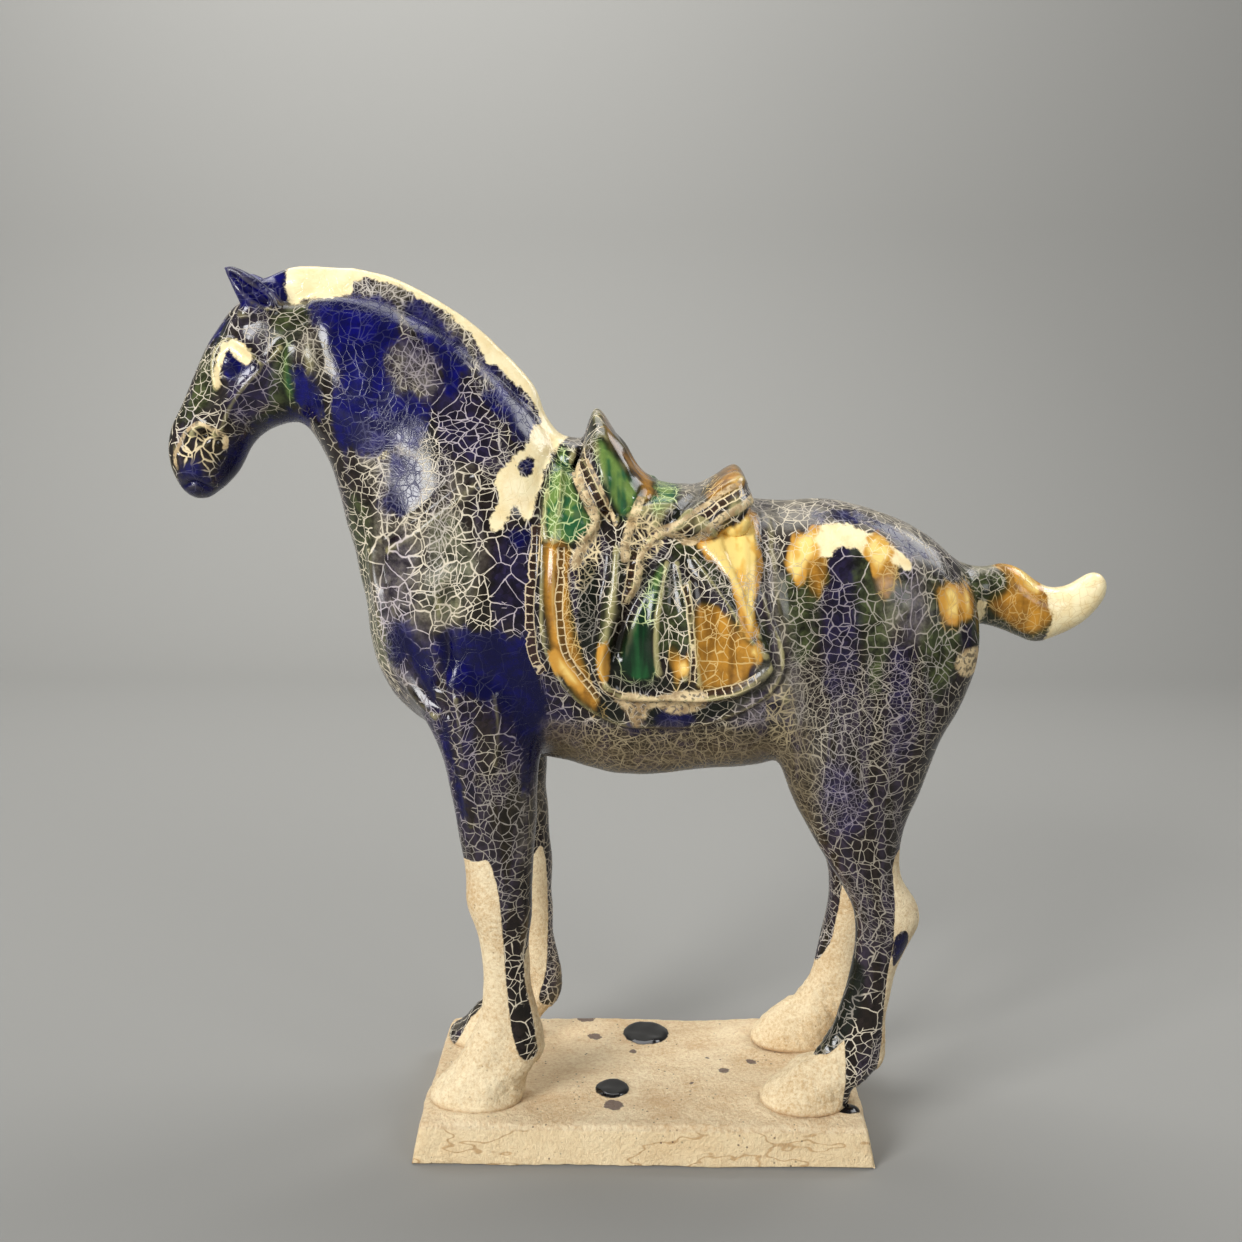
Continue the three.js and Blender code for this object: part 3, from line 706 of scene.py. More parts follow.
NECK_BLUES = [
    [(-142, 345), (-135, 348), (-126, 350), (-115, 349), (-107, 346), (-103, 340), (-103, 334),
     (-107, 326), (-106, 317), (-101, 309), (-95, 308), (-90, 304), (-89, 294), (-93, 285), (-99, 285),
     (-105, 287), (-110, 283), (-117, 283), (-123, 286), (-128, 287), (-131, 297), (-128, 306),
     (-126, 318), (-130, 328), (-137, 337)],
    [(-104, 345), (-98, 347), (-90, 343), (-84, 336), (-77, 329), (-74, 321), (-78, 311), (-83, 307),
     (-84, 315), (-87, 324), (-94, 332)],
    [(-70, 325), (-64, 320), (-59, 313), (-52, 307), (-46, 299), (-42, 285), (-50, 289), (-56, 294),
     (-62, 301), (-67, 307), (-64, 313), (-70, 318)],
    [(-60, 268), (-56, 269), (-58, 260), (-55, 248), (-48, 246), (-45, 252), (-49, 255), (-53, 253),
     (-57, 254)],
    [(-105, 283), (-96, 284), (-91, 277), (-92, 268), (-101, 259), (-111, 262), (-106, 270)],
]
HEAD_BLUES = [
    [(-182, 366), (-174, 352), (-170, 344), (-163, 343), (-155, 344), (-150, 349), (-152, 359),
     (-163, 361)],
    [(-197, 280), (-192, 281), (-189, 276), (-186, 270), (-189, 264), (-197, 262), (-202, 272)],
    [(-187, 268), (-181, 281), (-174, 291), (-161, 298), (-149, 301), (-140, 300), (-150, 290),
     (-165, 284), (-180, 262)],
    [(-187, 330), (-180, 341), (-177, 338), (-182, 329)],
    [(-176, 325), (-171, 325), (-166, 320), (-163, 319), (-168, 316.5), (-175, 317)],
    [(-145, 320), (-139, 315), (-134, 305), (-134, 298), (-141, 301), (-147, 307)],
]
VIOLETS = [
    [(-102, 330), (-88, 330), (-76, 316), (-66, 300), (-62, 286), (-72, 280), (-84, 290), (-90, 306),
     (-99, 316)],
    [(-100, 252), (-112, 232), (-112, 214), (-100, 214), (-98, 228)],
    [(-60, 250), (-46, 246), (-46, 212), (-60, 216)],
    [(-172, 312), (-160, 322), (-153, 312), (-166, 298), (-176, 300)],
]
HEAD_GREENS = [[(-147, 330), (-148, 322), (-146, 312), (-147, 306), (-151, 305), (-152, 314), (-151, 326)]]
HEAD_OLIVES = [
    [(-176, 340), (-181, 334), (-187, 324), (-190, 313), (-202, 298), (-197, 296), (-187, 303),
     (-181, 308), (-182, 318), (-177, 330)],
    [(-154, 341), (-145, 348), (-138, 347), (-141, 336), (-148, 324), (-143, 308), (-150, 302),
     (-158, 304), (-154, 322), (-157, 334)],
    [(-166, 296), (-156, 306), (-148, 308), (-150, 300), (-158, 294)],
]
NOSTRIL_NET = [
    (-193, 295), (-186, 295), (-178, 291.5), (-180, 286), (-184, 281), (-188, 275), (-191, 279),
    (-197, 278), (-201, 279), (-202, 286), (-198, 286),
]
FACE_ROUTE = [
    (-201, 277), (-202, 282), (-199, 287), (-196, 292), (-190, 296), (-184, 293.5), (-179, 290.5),
    (-180, 285),
]
FACE_STRANDS = [(FACE_ROUTE, 0.9)]
# Hazes of dust on neck and jowl. The first, low on the neck, and the third, on the jowl, also hold a painted
# sheen.
NECK_HAZES_AND_SHEENS = [
    [(-117, 298), (-107, 299), (-99, 292), (-91, 286), (-88, 275), (-91, 264), (-100, 258),
     (-108, 259), (-112, 269), (-119, 284)],
    [(-107, 321), (-101, 326), (-91, 324), (-86, 316), (-89, 309), (-95, 306), (-102, 308)],
    [(-144, 332), (-138, 333), (-132, 324), (-131, 318), (-138, 319), (-144, 326)],
]
STRAP_HAZE = [
    (-101, 244), (-95, 254), (-84, 265), (-78, 277), (-72, 277), (-70, 270), (-76, 262), (-86, 255),
    (-96, 244),
]
MANE_GREY = [
    (-126, 351), (-124, 356), (-119, 357.5), (-110, 356.5), (-100, 352.5), (-87, 345), (-77, 337),
    (-70, 328), (-67, 321), (-71, 319), (-80, 328), (-91, 336), (-102, 343), (-112, 348),
]
print(len(NECK_BLUES) + len(HEAD_BLUES), "blue splashes on head and neck")

# %% Outlines of the glazes on the trunk
SHOULDER_BLUES = [
    [(-107, 213), (-101, 216), (-96, 210), (-98, 200), (-105, 196)],
    [(-86, 209), (-75, 213), (-65, 212), (-49, 208), (-45, 198), (-43, 187), (-41, 172), (-43, 158),
     (-49, 142), (-53, 145), (-51, 163), (-58, 178), (-66, 184), (-78, 186), (-86, 197)],
    [(-102, 205), (-92, 202), (-86, 186), (-84, 168), (-79, 140), (-76, 134), (-79, 154), (-84, 175),
     (-94, 190)],
]
SHOULDER_VIOLETS = [
    [(-109, 214), (-100, 217), (-93, 213), (-84, 208), (-78, 212), (-64, 207), (-52, 210), (-44, 202),
     (-38, 184), (-39, 163), (-42, 148), (-48, 141), (-53, 153), (-60, 166), (-66, 182), (-80, 192),
     (-90, 186), (-104, 190)],
    [(-93, 186), (-86, 183), (-81, 168), (-79, 140), (-77, 126), (-83, 121), (-88, 136), (-95, 155)],
]
RUMP_BLUES = [
    [(69, 256), (77, 259), (88, 259), (100, 255), (110, 248), (119, 242), (110, 242), (104, 248),
     (96, 253), (78, 257)],
]
REAR_NET = [(129, 201), (134, 204), (140, 203), (141, 195), (135, 192), (129, 195)]
# Where the crackle is drawn fainter, so that the glaze looks darker. The fourth, over the throat, is painted
# shade.
FAINT_CRACKLE_AND_SHADE = [
    [(56, 240), (100, 236), (150, 246), (180, 242), (180, 198), (152, 196), (152, 100), (126, 60),
     (84, 60), (44, 150)],
    [(-110, 340), (-84, 336), (-78, 310), (-96, 302), (-110, 316)],
    [(-184, 316), (-150, 330), (-140, 300), (-152, 284), (-180, 262), (-188, 280), (-176, 296)],
    [(-150, 345), (-130, 345), (-128, 318), (-124, 290), (-118, 262), (-130, 262), (-142, 290),
     (-154, 300), (-158, 330)],
    [(-106, 190), (-80, 204), (-34, 196), (-36, 90), (-96, 90)],
]
RUMP_VIOLETS = [
    [(133, 215), (140, 216), (141, 204), (136, 200), (132, 206)],
    [(73, 243), (78, 247), (84, 248), (90, 243), (90, 215), (88, 192), (81, 184), (74, 194), (71, 225)],
    [(103, 242), (110, 242), (115, 230), (114, 214), (107, 208), (102, 220)],
    [(74, 153), (84, 155), (91, 146), (91, 132), (85, 126), (78, 130)],
    [(101, 206), (109, 206), (111, 182), (108, 160), (104, 160), (101, 184)],
    [(-80, 208), (-72, 183), (-69, 158), (-72, 138), (-78, 157), (-81, 183)],
    [(40, 190), (52, 186), (54, 172), (40, 172)],
    [(-44, 188), (-35, 184), (-23, 168), (-29, 161), (-42, 163)],
]
CHEST_OLIVES = [
    [(-88, 257), (-77, 259), (-72, 249), (-70, 235), (-76, 221), (-84, 216), (-90, 224), (-89, 241)],
    [(-127, 264), (-117, 262), (-114, 248), (-116, 231), (-111, 214), (-105, 202), (-113, 192),
     (-121, 203), (-126, 219)],
]
RUMP_OLIVES = [
    [(89, 243), (97, 242), (100, 225), (99, 205), (93, 186), (88, 206)],
    [(58, 240), (70, 236), (70, 209), (63, 200), (58, 217)],
    [(114, 212), (126, 218), (130, 206), (127, 190), (118, 184)],
    [(138, 240), (155, 240), (158, 222), (166, 208), (171, 200), (156, 200), (138, 204)],
]
RUMP_CREAMS = [
    [(59, 236), (60, 244), (64, 248), (69, 250), (75, 254), (83, 254.5), (92, 252), (100, 248),
     (104, 244.5), (108.5, 241), (110.5, 236), (105, 238.5), (101, 240.5), (95, 242), (90, 243),
     (86, 246), (80, 245.5), (75, 241.5), (69, 243), (63, 240)],
    [(142, 220), (146, 220), (145, 206), (141, 210)],
]
TAIL_CREAM = [
    (170, 240), (215, 240), (215, 205), (180, 198), (174, 204), (176, 213), (173, 222), (170, 231),
]
RUMP_GREENS = [
    [(56, 238), (63, 236), (69, 228), (68, 214), (62, 208), (57, 220)],
    [(86, 245), (91, 244), (92, 232), (89, 218), (85, 228)],
    [(100, 234), (106, 237), (107, 224), (101, 214), (98, 224)],
    [(116, 232), (122, 232), (123, 214), (118, 206)],
]
RUMP_AMBERS = [
    [(65, 249), (74, 247), (76, 239), (73, 228), (69, 225), (66, 234)],
    [(92, 250), (100, 249), (105, 243), (103, 231), (99, 223), (95, 228), (92, 238)],
    [(120, 229), (128, 231), (137, 229), (141, 223), (138, 217), (133, 214), (127, 213), (122, 215),
     (121, 222)],
    [(152, 243), (163, 240), (171, 233), (177, 222), (177, 214), (173, 208), (166, 205), (157, 209),
     (150, 215), (148, 220), (153, 224), (155, 229), (151, 234)],
]
RUMP_YELLOWS = [
    [(58, 243), (63, 250), (71, 253), (73, 246), (68, 240), (63, 232), (59, 235)],
    [(90, 248), (97, 251), (103, 246), (100, 240), (95, 236), (92, 241)],
    [(123, 226), (125, 229), (130, 229), (131, 221), (129, 216), (124, 218)],
    [(133, 228), (137, 226), (136, 219), (133, 218)],
    [(158, 238), (165, 236), (171, 228), (170, 222), (164, 225), (160, 231)],
]
# Hazes of dust on the body. The first, on the chest, also holds a painted sheen.
BODY_HAZES_AND_SHEEN = [
    [(-103, 232), (-92, 239), (-80, 237), (-74, 227), (-78, 216), (-89, 212), (-99, 218)],
    [(-116, 240), (-110, 244), (-108, 206), (-96, 186), (-104, 176), (-116, 200)],
    [(40, 194), (58, 200), (66, 186), (64, 160), (40, 160)],
    [(104, 246), (116, 244), (118, 216), (104, 208), (98, 222)],
    [(-50, 150), (-42, 152), (-44, 112), (-52, 116)],
    [(-112, 262), (-92, 262), (-74, 262), (-66, 240), (-76, 214), (-100, 210), (-116, 224)],
]
FINES = [
    [(62, 204), (84, 196), (112, 200), (116, 176), (96, 158), (66, 170)],
    [(72, 168), (88, 172), (92, 140), (78, 128), (66, 142)],
    [(-118, 300), (-92, 296), (-84, 262), (-108, 254)],
]
print(len(RUMP_AMBERS) + len(RUMP_YELLOWS), "amber and yellow splashes on the rump")

# %% Outlines of the glazes on the saddlery
SADDLE_GREENS = [
    [(-36, 287), (-33, 284), (-30, 277), (-28, 269), (-24, 262), (-21, 257), (-23, 251), (-28, 248),
     (-34, 245), (-40, 249), (-43, 262), (-41, 273)],
    [(-20, 290), (-16, 289), (-8, 279), (-3, 273), (-2, 267), (-5, 260), (-10, 257), (-15, 265),
     (-19, 275), (-21, 283)],
    [(5, 239), (9, 239), (7, 230), (4, 218), (3, 207), (6, 195), (0, 190), (-10, 193), (-11, 202),
     (-8, 211), (-3, 222), (1, 232)],
    [(3, 272), (9, 273), (15, 270), (13, 264), (8, 260), (3, 259), (1, 266)],
]
SADDLE_OLIVES = [
    [(-20, 301), (-17, 299), (-17, 291), (-21, 288), (-25, 285), (-25, 291)],
    [(-13, 242), (-10, 243), (-9, 234), (-11, 224), (-14, 213), (-16, 203), (-15, 194), (-18, 193),
     (-20, 203), (-16, 226)],
    [(13, 248), (22, 246), (32, 236), (42, 224), (52, 210), (48, 204), (38, 218), (22, 238), (10, 243)],
    [(8, 234), (14, 233), (19, 221), (20, 205), (6, 204), (5, 220)],
]
SADDLE_AMBERS = [
    [(-42, 248), (-36, 250), (-30, 246), (-29, 235), (-30, 223), (-28, 211), (-24, 198), (-17, 184),
     (-17, 176), (-26, 181), (-33, 191), (-38, 200), (-42, 225)],
    [(20, 222), (26, 224), (32, 223), (38, 215), (44, 208), (48, 203), (44, 194), (38, 189), (24, 188),
     (20, 194)],
    [(31, 275), (35, 279), (39, 280), (43, 275), (42, 270), (36, 268), (28, 264), (24, 267)],
    [(-19, 302), (-14, 296), (-12, 290), (-5, 283), (3, 274), (4, 267), (0, 264), (-3, 272), (-9, 280),
     (-16, 291)],
    [(9, 203), (12, 207), (15, 203), (18, 207), (20, 199), (19, 190), (16, 193), (13, 188), (11, 195)],
]
SADDLE_YELLOWS = [
    [(22, 247), (29, 251), (35, 256), (41, 260), (46, 257), (47, 245), (46, 232), (46, 222), (43, 210),
     (40, 219), (35, 230), (28, 240)],
    [(-39, 203), (-35, 202), (-29, 195), (-26, 189), (-31, 190), (-36, 196)],
    [(13, 199), (17, 202), (19, 197), (15, 193)], [(42, 206), (46, 207), (48, 202), (44, 199)],
    [(-18, 205), (-16, 205), (-17, 193), (-19, 196)],
]
# Dark patches. The first three, in the groove beside the skirt's ridge, under the skirt's rim and in the
# slot under the seat, are painted shade.
SADDLE_DARKS_AND_SHADE = [
    [(-16, 196), (-12, 207), (-6, 218), (-3, 222), (-8, 209), (-10, 199), (-5, 193), (8, 193),
     (12, 190), (-2, 187), (-14, 189)],
    [(47, 201), (51, 202), (54, 194), (46, 186), (38, 180), (24, 174), (19, 176), (24, 181), (34, 185),
     (43, 190)],
    [(23, 269), (17, 266), (12, 262), (8, 257), (10, 254), (18, 259), (24, 265)],
    [(35, 260), (41, 263), (43, 259)], [(-18, 185), (-12, 184), (-8, 175), (-14, 171), (-20, 176)],
    [(1, 184), (5, 183), (7, 176), (3, 170), (0, 175)],
    [(-25, 238), (-20, 238), (-19, 217), (-21, 203), (-26, 206), (-27, 222)],
]
CREAM_BORDER = [
    (-12, 184), (-5, 187), (3, 185), (15, 188), (25, 187), (24, 180), (13, 177), (4, 181), (2, 178),
    (-1, 173), (-4, 171), (-8, 179),
]
BLUE_BORDERS = [
    [(6, 177), (13, 179), (20, 178), (22, 173), (14, 169), (5, 171)],
    [(-7, 173), (-2, 171), (2, 169), (-6, 168)],
]
LAPPET_NET = [(-29, 248), (-24, 256), (-18, 252), (-19, 240), (-26, 228), (-30, 238)]
KNOB_NET = [(50, 188), (56, 191), (61, 186), (63, 170), (58, 162), (52, 168)]
CALM = [
    [(-19, 288), (-17, 296), (-17, 305), (-8, 292), (0, 281), (5, 273), (4, 266), (0, 264), (-4, 264),
     (-10, 260), (-14, 266), (-18, 276)],
    [(30, 276), (34, 284), (44, 284), (48, 270), (42, 270), (36, 269)],
    [(-41, 247), (-36, 240), (-34, 220), (-32, 200), (-24, 188), (-18, 177), (-28, 182), (-38, 200),
     (-42, 225)],
    [(26, 248), (36, 256), (44, 256), (46, 240), (40, 236), (34, 240)],
    [(-6, 214), (4, 214), (5, 198), (0, 191), (-10, 198)],
]
GIRTH_GREY = [(49.5, 260), (55, 260), (56, 234), (58, 215), (60, 198), (55, 198), (52, 215), (50, 234)]
print(len(SADDLE_GREENS) + len(SADDLE_AMBERS), "splashes on the saddlery")

# %% [markdown]
# The glazes ran down the legs and stopped above the hooves, so hooves and strips along the legs are bare.
# The far legs show their inner faces in the photograph, where the runs are other ones.

# %% Outlines of bare clay and of late runs
NEAR_BARE = [
    [(-95, 112), (-74, 111.5), (-66, 113), (-63, 104), (-61, 92), (-60, 72), (-59, 54), (-57, 35),
     (-54, 25), (-50, 21.5), (-46.5, 25), (-48, 38), (-51, 52), (-51.5, 66), (-49.5, 72), (-40, 70),
     (-30, 30), (-30, -12), (-115, -12), (-110, 30), (-95, 60), (-95, 90)],
    [(106, 112), (112, 116), (130, 100), (130, 50), (120, 10), (104, -12), (92, -12), (91, 8),
     (99, 14), (102.5, 23), (104, 42), (105, 60), (106.5, 78), (106.5, 96)],
    [(30, 26), (58, 24), (66, 22), (77, 28), (86, 36), (87.5, 15), (86.5, 4), (87, -12), (30, -12)],
]
NEAR_RUNS = [
    [(107, 79), (112, 82), (113.5, 75), (109, 66), (107, 66)],
    [(84, 66), (94, 66), (94, 52), (92, 42), (88, 33), (80, 25.5), (70, 21), (63, 23), (70, 30),
     (78, 37), (83, 50)],
]
FAR_BARE = [
    [(-58, 78), (-52, 95), (-48, 98), (-46, 84), (-46, 57), (-47, 36), (-50, 24), (-44, 18), (-30, 10),
     (-30, -12), (-90, -12), (-86, 8), (-72, 24), (-62, 40), (-58, 60)],
    [(94, 96), (104, 108), (125, 100), (130, 50), (120, -12), (30, -12), (34, 20), (60, 24), (72, 31),
     (80, 38), (88, 50), (91, 64), (93, 80)],
]
print(len(NEAR_BARE) + len(FAR_BARE), "bare areas")

# %% Distances to splashes and ladders
REACH = 14.0
LADDER_SPAN = (50, 60)


def splash(x, z, outlines):
    """The largest distance to an edge over all outlines, positive in any of them, at least minus the reach.
    Only points near an outline are measured."""
    most = np.full(len(x), -REACH)
    for outline in outlines:
        low = np.min(outline, axis=0) - REACH
        high = np.max(outline, axis=0) + REACH
        near = (x > low[0]) & (x < high[0]) & (z > low[1]) & (z < high[1])
        most[near] = np.maximum(most[near], inside(x[near], z[near], outline))
    return most


def along_ladders(x, z, ladders):
    """For every point the half width less the distance, over all ladders, and how far along its ladder the
    point lies, which is where the share along the nearest leg falls."""
    most = np.full(len(x), -REACH)
    along = np.zeros(len(x))
    for route, half_width in ladders:
        line = smooth_route(route)
        mean_x, mean_z = line.mean(axis=0)
        near = (np.abs(x - mean_x) < LADDER_SPAN[0]) & (np.abs(z - mean_z) < LADDER_SPAN[1])
        starts, steps = line[:-1], np.diff(line, axis=0)
        lengths = np.linalg.norm(steps, axis=1)
        away = np.stack([x[near], z[near]], 1)[:, None] - starts
        share = np.clip((away * steps).sum(2) / lengths ** 2, 0, 1)
        gap = np.linalg.norm(away - share[:, :, None] * steps, axis=2)
        leg = gap.argmin(1)
        rows = np.arange(len(leg))
        last = len(lengths) - 1
        past_end = ((leg == 0) & (share[rows, leg] == 0)) | ((leg == last) & (share[rows, leg] == 1))
        inner = np.where(past_end, -REACH, half_width - gap[rows, leg])
        run = np.concatenate([[0], np.cumsum(lengths)])[leg] + share[rows, leg] * lengths[leg]
        better = inner > most[near]
        numbers = np.flatnonzero(near)[better]
        most[numbers] = inner[better]
        along[numbers] = run[better]
    return most, along


print("distances are kept up to", REACH, "units")

# %% Store the distances on the skin
def traced(routes):
    """For every point the half width less the distance, the largest over all routes."""
    return np.max([half_width - to_route(draw_x, draw_z, route) for route, half_width in routes], axis=0)


def drawn(outlines):
    """The splash of outlines on this skin, with its far side moved."""
    return splash(draw_x, draw_z, outlines)


FAR_SHIFT = (4, -3)
BEHIND = -14
BELLY_FRONT, BELLY_REAR, BELLY_TOP = -42, 72, 172
BACK_FRONT, BACK_LOW = 48, 258
x, y, z = skin.T
turned = step_up(y, 0, 24)
draw_x = x + FAR_SHIFT[0] * turned
draw_z = z + FAR_SHIFT[1] * turned
near_leg = y < 0
over_back = 12 * (1 - step_up(np.abs(y), *FLANK))
withers_drop = drawn([WITHERS_DROP])
blue = drawn(NECK_BLUES + HEAD_BLUES + SHOULDER_BLUES + RUMP_BLUES + BLUE_BORDERS)
cream = drawn([MANE_CREAM, WITHERS_CREAM, NECK_FLECK, TAIL_CREAM] + EYE_CREAMS + RUMP_CREAMS)
runs, dark_run = (np.where(near_leg, splash(x, z, [run]), -REACH) for run in NEAR_RUNS)
bare = np.where(near_leg, splash(x, z, NEAR_BARE), splash(x, z, FAR_BARE))
rear_net = np.minimum(drawn([REAR_NET]), BEHIND - y)
strand = np.maximum(traced(STRANDS) - over_back, traced(FACE_STRANDS))
strand = np.maximum(strand, 0.4 * np.maximum(drawn([CREAM_BORDER]), rear_net))
ladder, rung = along_ladders(draw_x, draw_z, LADDERS)
# Under the belly, dust and lines are painted darker, which is painted shade, and the crackle is finer.
belly = np.min([BELLY_TOP - z, x - BELLY_FRONT, BELLY_REAR - x], axis=0)
back = np.minimum(z - BACK_LOW, x - BACK_FRONT)
# Hazes of dust; the ones low on the neck, on the jowl and on the chest also hold a painted sheen.
haze_sheen_and_shade = drawn(NECK_HAZES_AND_SHEENS + BODY_HAZES_AND_SHEEN + [MANE_GREY, STRAP_HAZE, GIRTH_GREY])
marks = {
    "blue": np.max([blue, withers_drop, runs], axis=0),
    "violet": drawn(VIOLETS + SHOULDER_VIOLETS + RUMP_VIOLETS),
    "green": drawn(HEAD_GREENS + SADDLE_GREENS),
    "olive": drawn(HEAD_OLIVES + CHEST_OLIVES + RUMP_OLIVES + RUMP_GREENS + SADDLE_OLIVES),
    "amber": drawn(RUMP_AMBERS + SADDLE_AMBERS),
    "yellow": drawn(RUMP_YELLOWS + SADDLE_YELLOWS),
    "dark": np.maximum(drawn(SADDLE_DARKS_AND_SHADE), dark_run),
    "cream": np.minimum(cream, -withers_drop),
    "bare": np.minimum(bare, -np.maximum(runs, dark_run)),
    "net": drawn([NOSTRIL_NET, KNOT_NET, KNOB_NET, LAPPET_NET]),
    "calm": drawn(CALM),
    "strand": np.clip(strand, -REACH, REACH),
    "ladder": np.clip(ladder - over_back, -REACH, REACH),
    "rung": rung,
    "haze_sheen_and_shade": np.max([haze_sheen_and_shade, belly, back], axis=0),
    "belly": belly,
    "dim": splash(x, z, FAINT_CRACKLE_AND_SHADE),
    "fine": np.maximum(drawn([MANE_GREY, KNOT_NET, LAPPET_NET] + NECK_HAZES_AND_SHEENS[1:] + FINES), belly),
    "up": relaxed(out_of_skin, edges, half, rounds=10)[:, 2],
    "crest": crest,
    "faces_x": facing[:, 0] - facing[:, 1],
    "faces_z": facing[:, 2] - facing[:, 1],
}
print("stored", ", ".join(marks))

# %% [markdown]
# The glazes are procedural. What several materials need, how clay grains, how glaze crazes and how an
# edge drips, is made once as node groups, which give only masks, values and heights.

# %% Small helpers for node trees
def srgb(red, green, blue):
    """A linear colour from one read on the usual 0 to 255 scale: the share to the power 2.2."""
    return tuple((value / 255) ** 2.2 for value in (red, green, blue)) + (1.0,)


class Tree:
    """Adds nodes to one node tree. An input is given a value, or the socket that feeds it."""

    def __init__(self, tree):
        self.nodes = tree.nodes
        self.links = tree.links

    def add(self, kind, out=0, settings=None, **inputs):
        """One node with its settings and inputs. Names of inputs have _ for blanks, in_0 is the first."""
        node = self.nodes.new("ShaderNode" + kind)
        for name, value in (settings or {}).items():
            setattr(node, name, value)
        for name, value in inputs.items():
            key = int(name[3:]) if name.startswith("in_") else name.replace("_", " ")
            self.feed(node.inputs[key], value)
        return node.outputs[out]

    def feed(self, socket, value):
        """Link a socket, or set a value, to an input."""
        if isinstance(value, bpy.types.NodeSocket):
            self.links.new(value, socket)
        else:
            socket.default_value = value

    def calc(self, operation, first, second=0.0):
        """An operation on two numbers."""
        return self.add("Math", settings={"operation": operation}, in_0=first, in_1=second)

    def times(self, first, second):
        """The product, which is also a part of a mask."""
        return self.calc("MULTIPLY", first, second)

    def plus(self, first, second):
        """The sum."""
        return self.calc("ADD", first, second)

    def minus(self, first, second):
        """The difference."""
        return self.calc("SUBTRACT", first, second)

    def rest(self, mask, amount=1.0):
        """What a part of a mask leaves of 1."""
        return self.minus(1.0, self.times(mask, amount))

    def larger(self, first, second):
        """The larger number."""
        return self.calc("MAXIMUM", first, second)

    def pick(self, choice, first, second):
        """The first number where the choice is 0, the second where it is 1."""
        return self.add("Mix", settings={"data_type": "FLOAT"}, in_0=choice, in_2=first, in_3=second)

    def ease(self, value, low, high, start=0.0, end=1.0, shape="SMOOTHSTEP"):
        """The S-curve, or another shape, from start at low to end at high."""
        return self.add(
            "MapRange", settings={"interpolation_type": shape}, Value=value,
            From_Min=low, From_Max=high, To_Min=start, To_Max=end,
        )

    def blend(self, mask, first, second):
        """The first colour, over to the second by the mask. Three numbers are a colour on the 0 to 255
        scale.
        Inputs 6 and 7 and output 2 of the node are its colours."""
        first, second = (srgb(*side) if isinstance(side, tuple) else side for side in (first, second))
        return self.add("Mix", out=2, settings={"data_type": "RGBA"}, in_0=mask, in_6=first, in_7=second)

    def coats(self, colour, layers):
        """A colour under layers, each a mask and its own colour, the last one on top."""
        for mask, coat in layers:
            colour = self.blend(mask, colour, coat)
        return colour

    def noise(self, place, scale, detail=2.0, roughness=0.5, out=0):
        """Fractal noise about 0.5."""
        return self.add("TexNoise", out=out, Vector=place, Scale=scale, Detail=detail, Roughness=roughness)

    def scaled(self, place, factors):
        """A place with each coordinate times its own factor."""
        return self.add("VectorMath", settings={"operation": "MULTIPLY"}, in_0=place, in_1=factors)

    def stretched(self, vector, factor):
        """A vector times one number."""
        return self.add("VectorMath", settings={"operation": "SCALE"}, in_0=vector, Scale=factor)

    def mark(self, name):
        """A value that is stored on the mesh."""
        return self.add("Attribute", out="Fac", settings={"attribute_name": name})


print("cream reads as", [round(value, 2) for value in srgb(245, 225, 170)])

# %% [markdown]
# Glaze runs downwards. An edge is where the stored distance, stirred by streaks that are long in z and by
# a little fine noise, passes zero. Clay has stains, a grain, lumps and dark specks of iron.

# %% Node groups for edges and clay
def new_group(name, inputs, outputs):
    """An empty node group, its sockets made from names and starting values. Three numbers make a vector."""
    tree = bpy.data.node_groups.new(name, "ShaderNodeTree")
    for label, start in inputs.items():
        kind = "NodeSocketVector" if isinstance(start, tuple) else "NodeSocketFloat"
        socket = tree.interface.new_socket(label, in_out="INPUT", socket_type=kind)
        socket.default_value = start
    for label in outputs:
        tree.interface.new_socket(label, in_out="OUTPUT", socket_type="NodeSocketFloat")
    entry = tree.nodes.new("NodeGroupInput")
    return tree, Tree(tree), entry.outputs, tree.nodes.new("NodeGroupOutput").inputs


def use_group(tree, group, **inputs):
    """A group as a node of another tree: its outputs."""
    node = tree.nodes.new("ShaderNodeGroup")
    node.node_tree = group
    for name, value in inputs.items():
        tree.feed(node.inputs[name.replace("_", " ")], value)
    return node.outputs


edge_inputs = {"Place": (0.0, 0.0, 0.0), "Distance": 0.0, "Streak": 3.0, "Fray": 1.0, "Softness": 0.4}
edge, tree, given, result = new_group("Zone edge", edge_inputs, ("Mask",))
streak = tree.minus(tree.noise(tree.scaled(given["Place"], (1.0, 1.0, 0.2)), 170.0, detail=1.0), 0.5)
fray = tree.minus(tree.noise(given["Place"], 500.0, detail=3.0), 0.5)
moved = tree.plus(given["Distance"], tree.times(streak, given["Streak"]))
moved = tree.plus(moved, tree.times(fray, given["Fray"]))
tree.feed(result["Mask"], tree.ease(moved, tree.times(given["Softness"], -1.0), given["Softness"]))

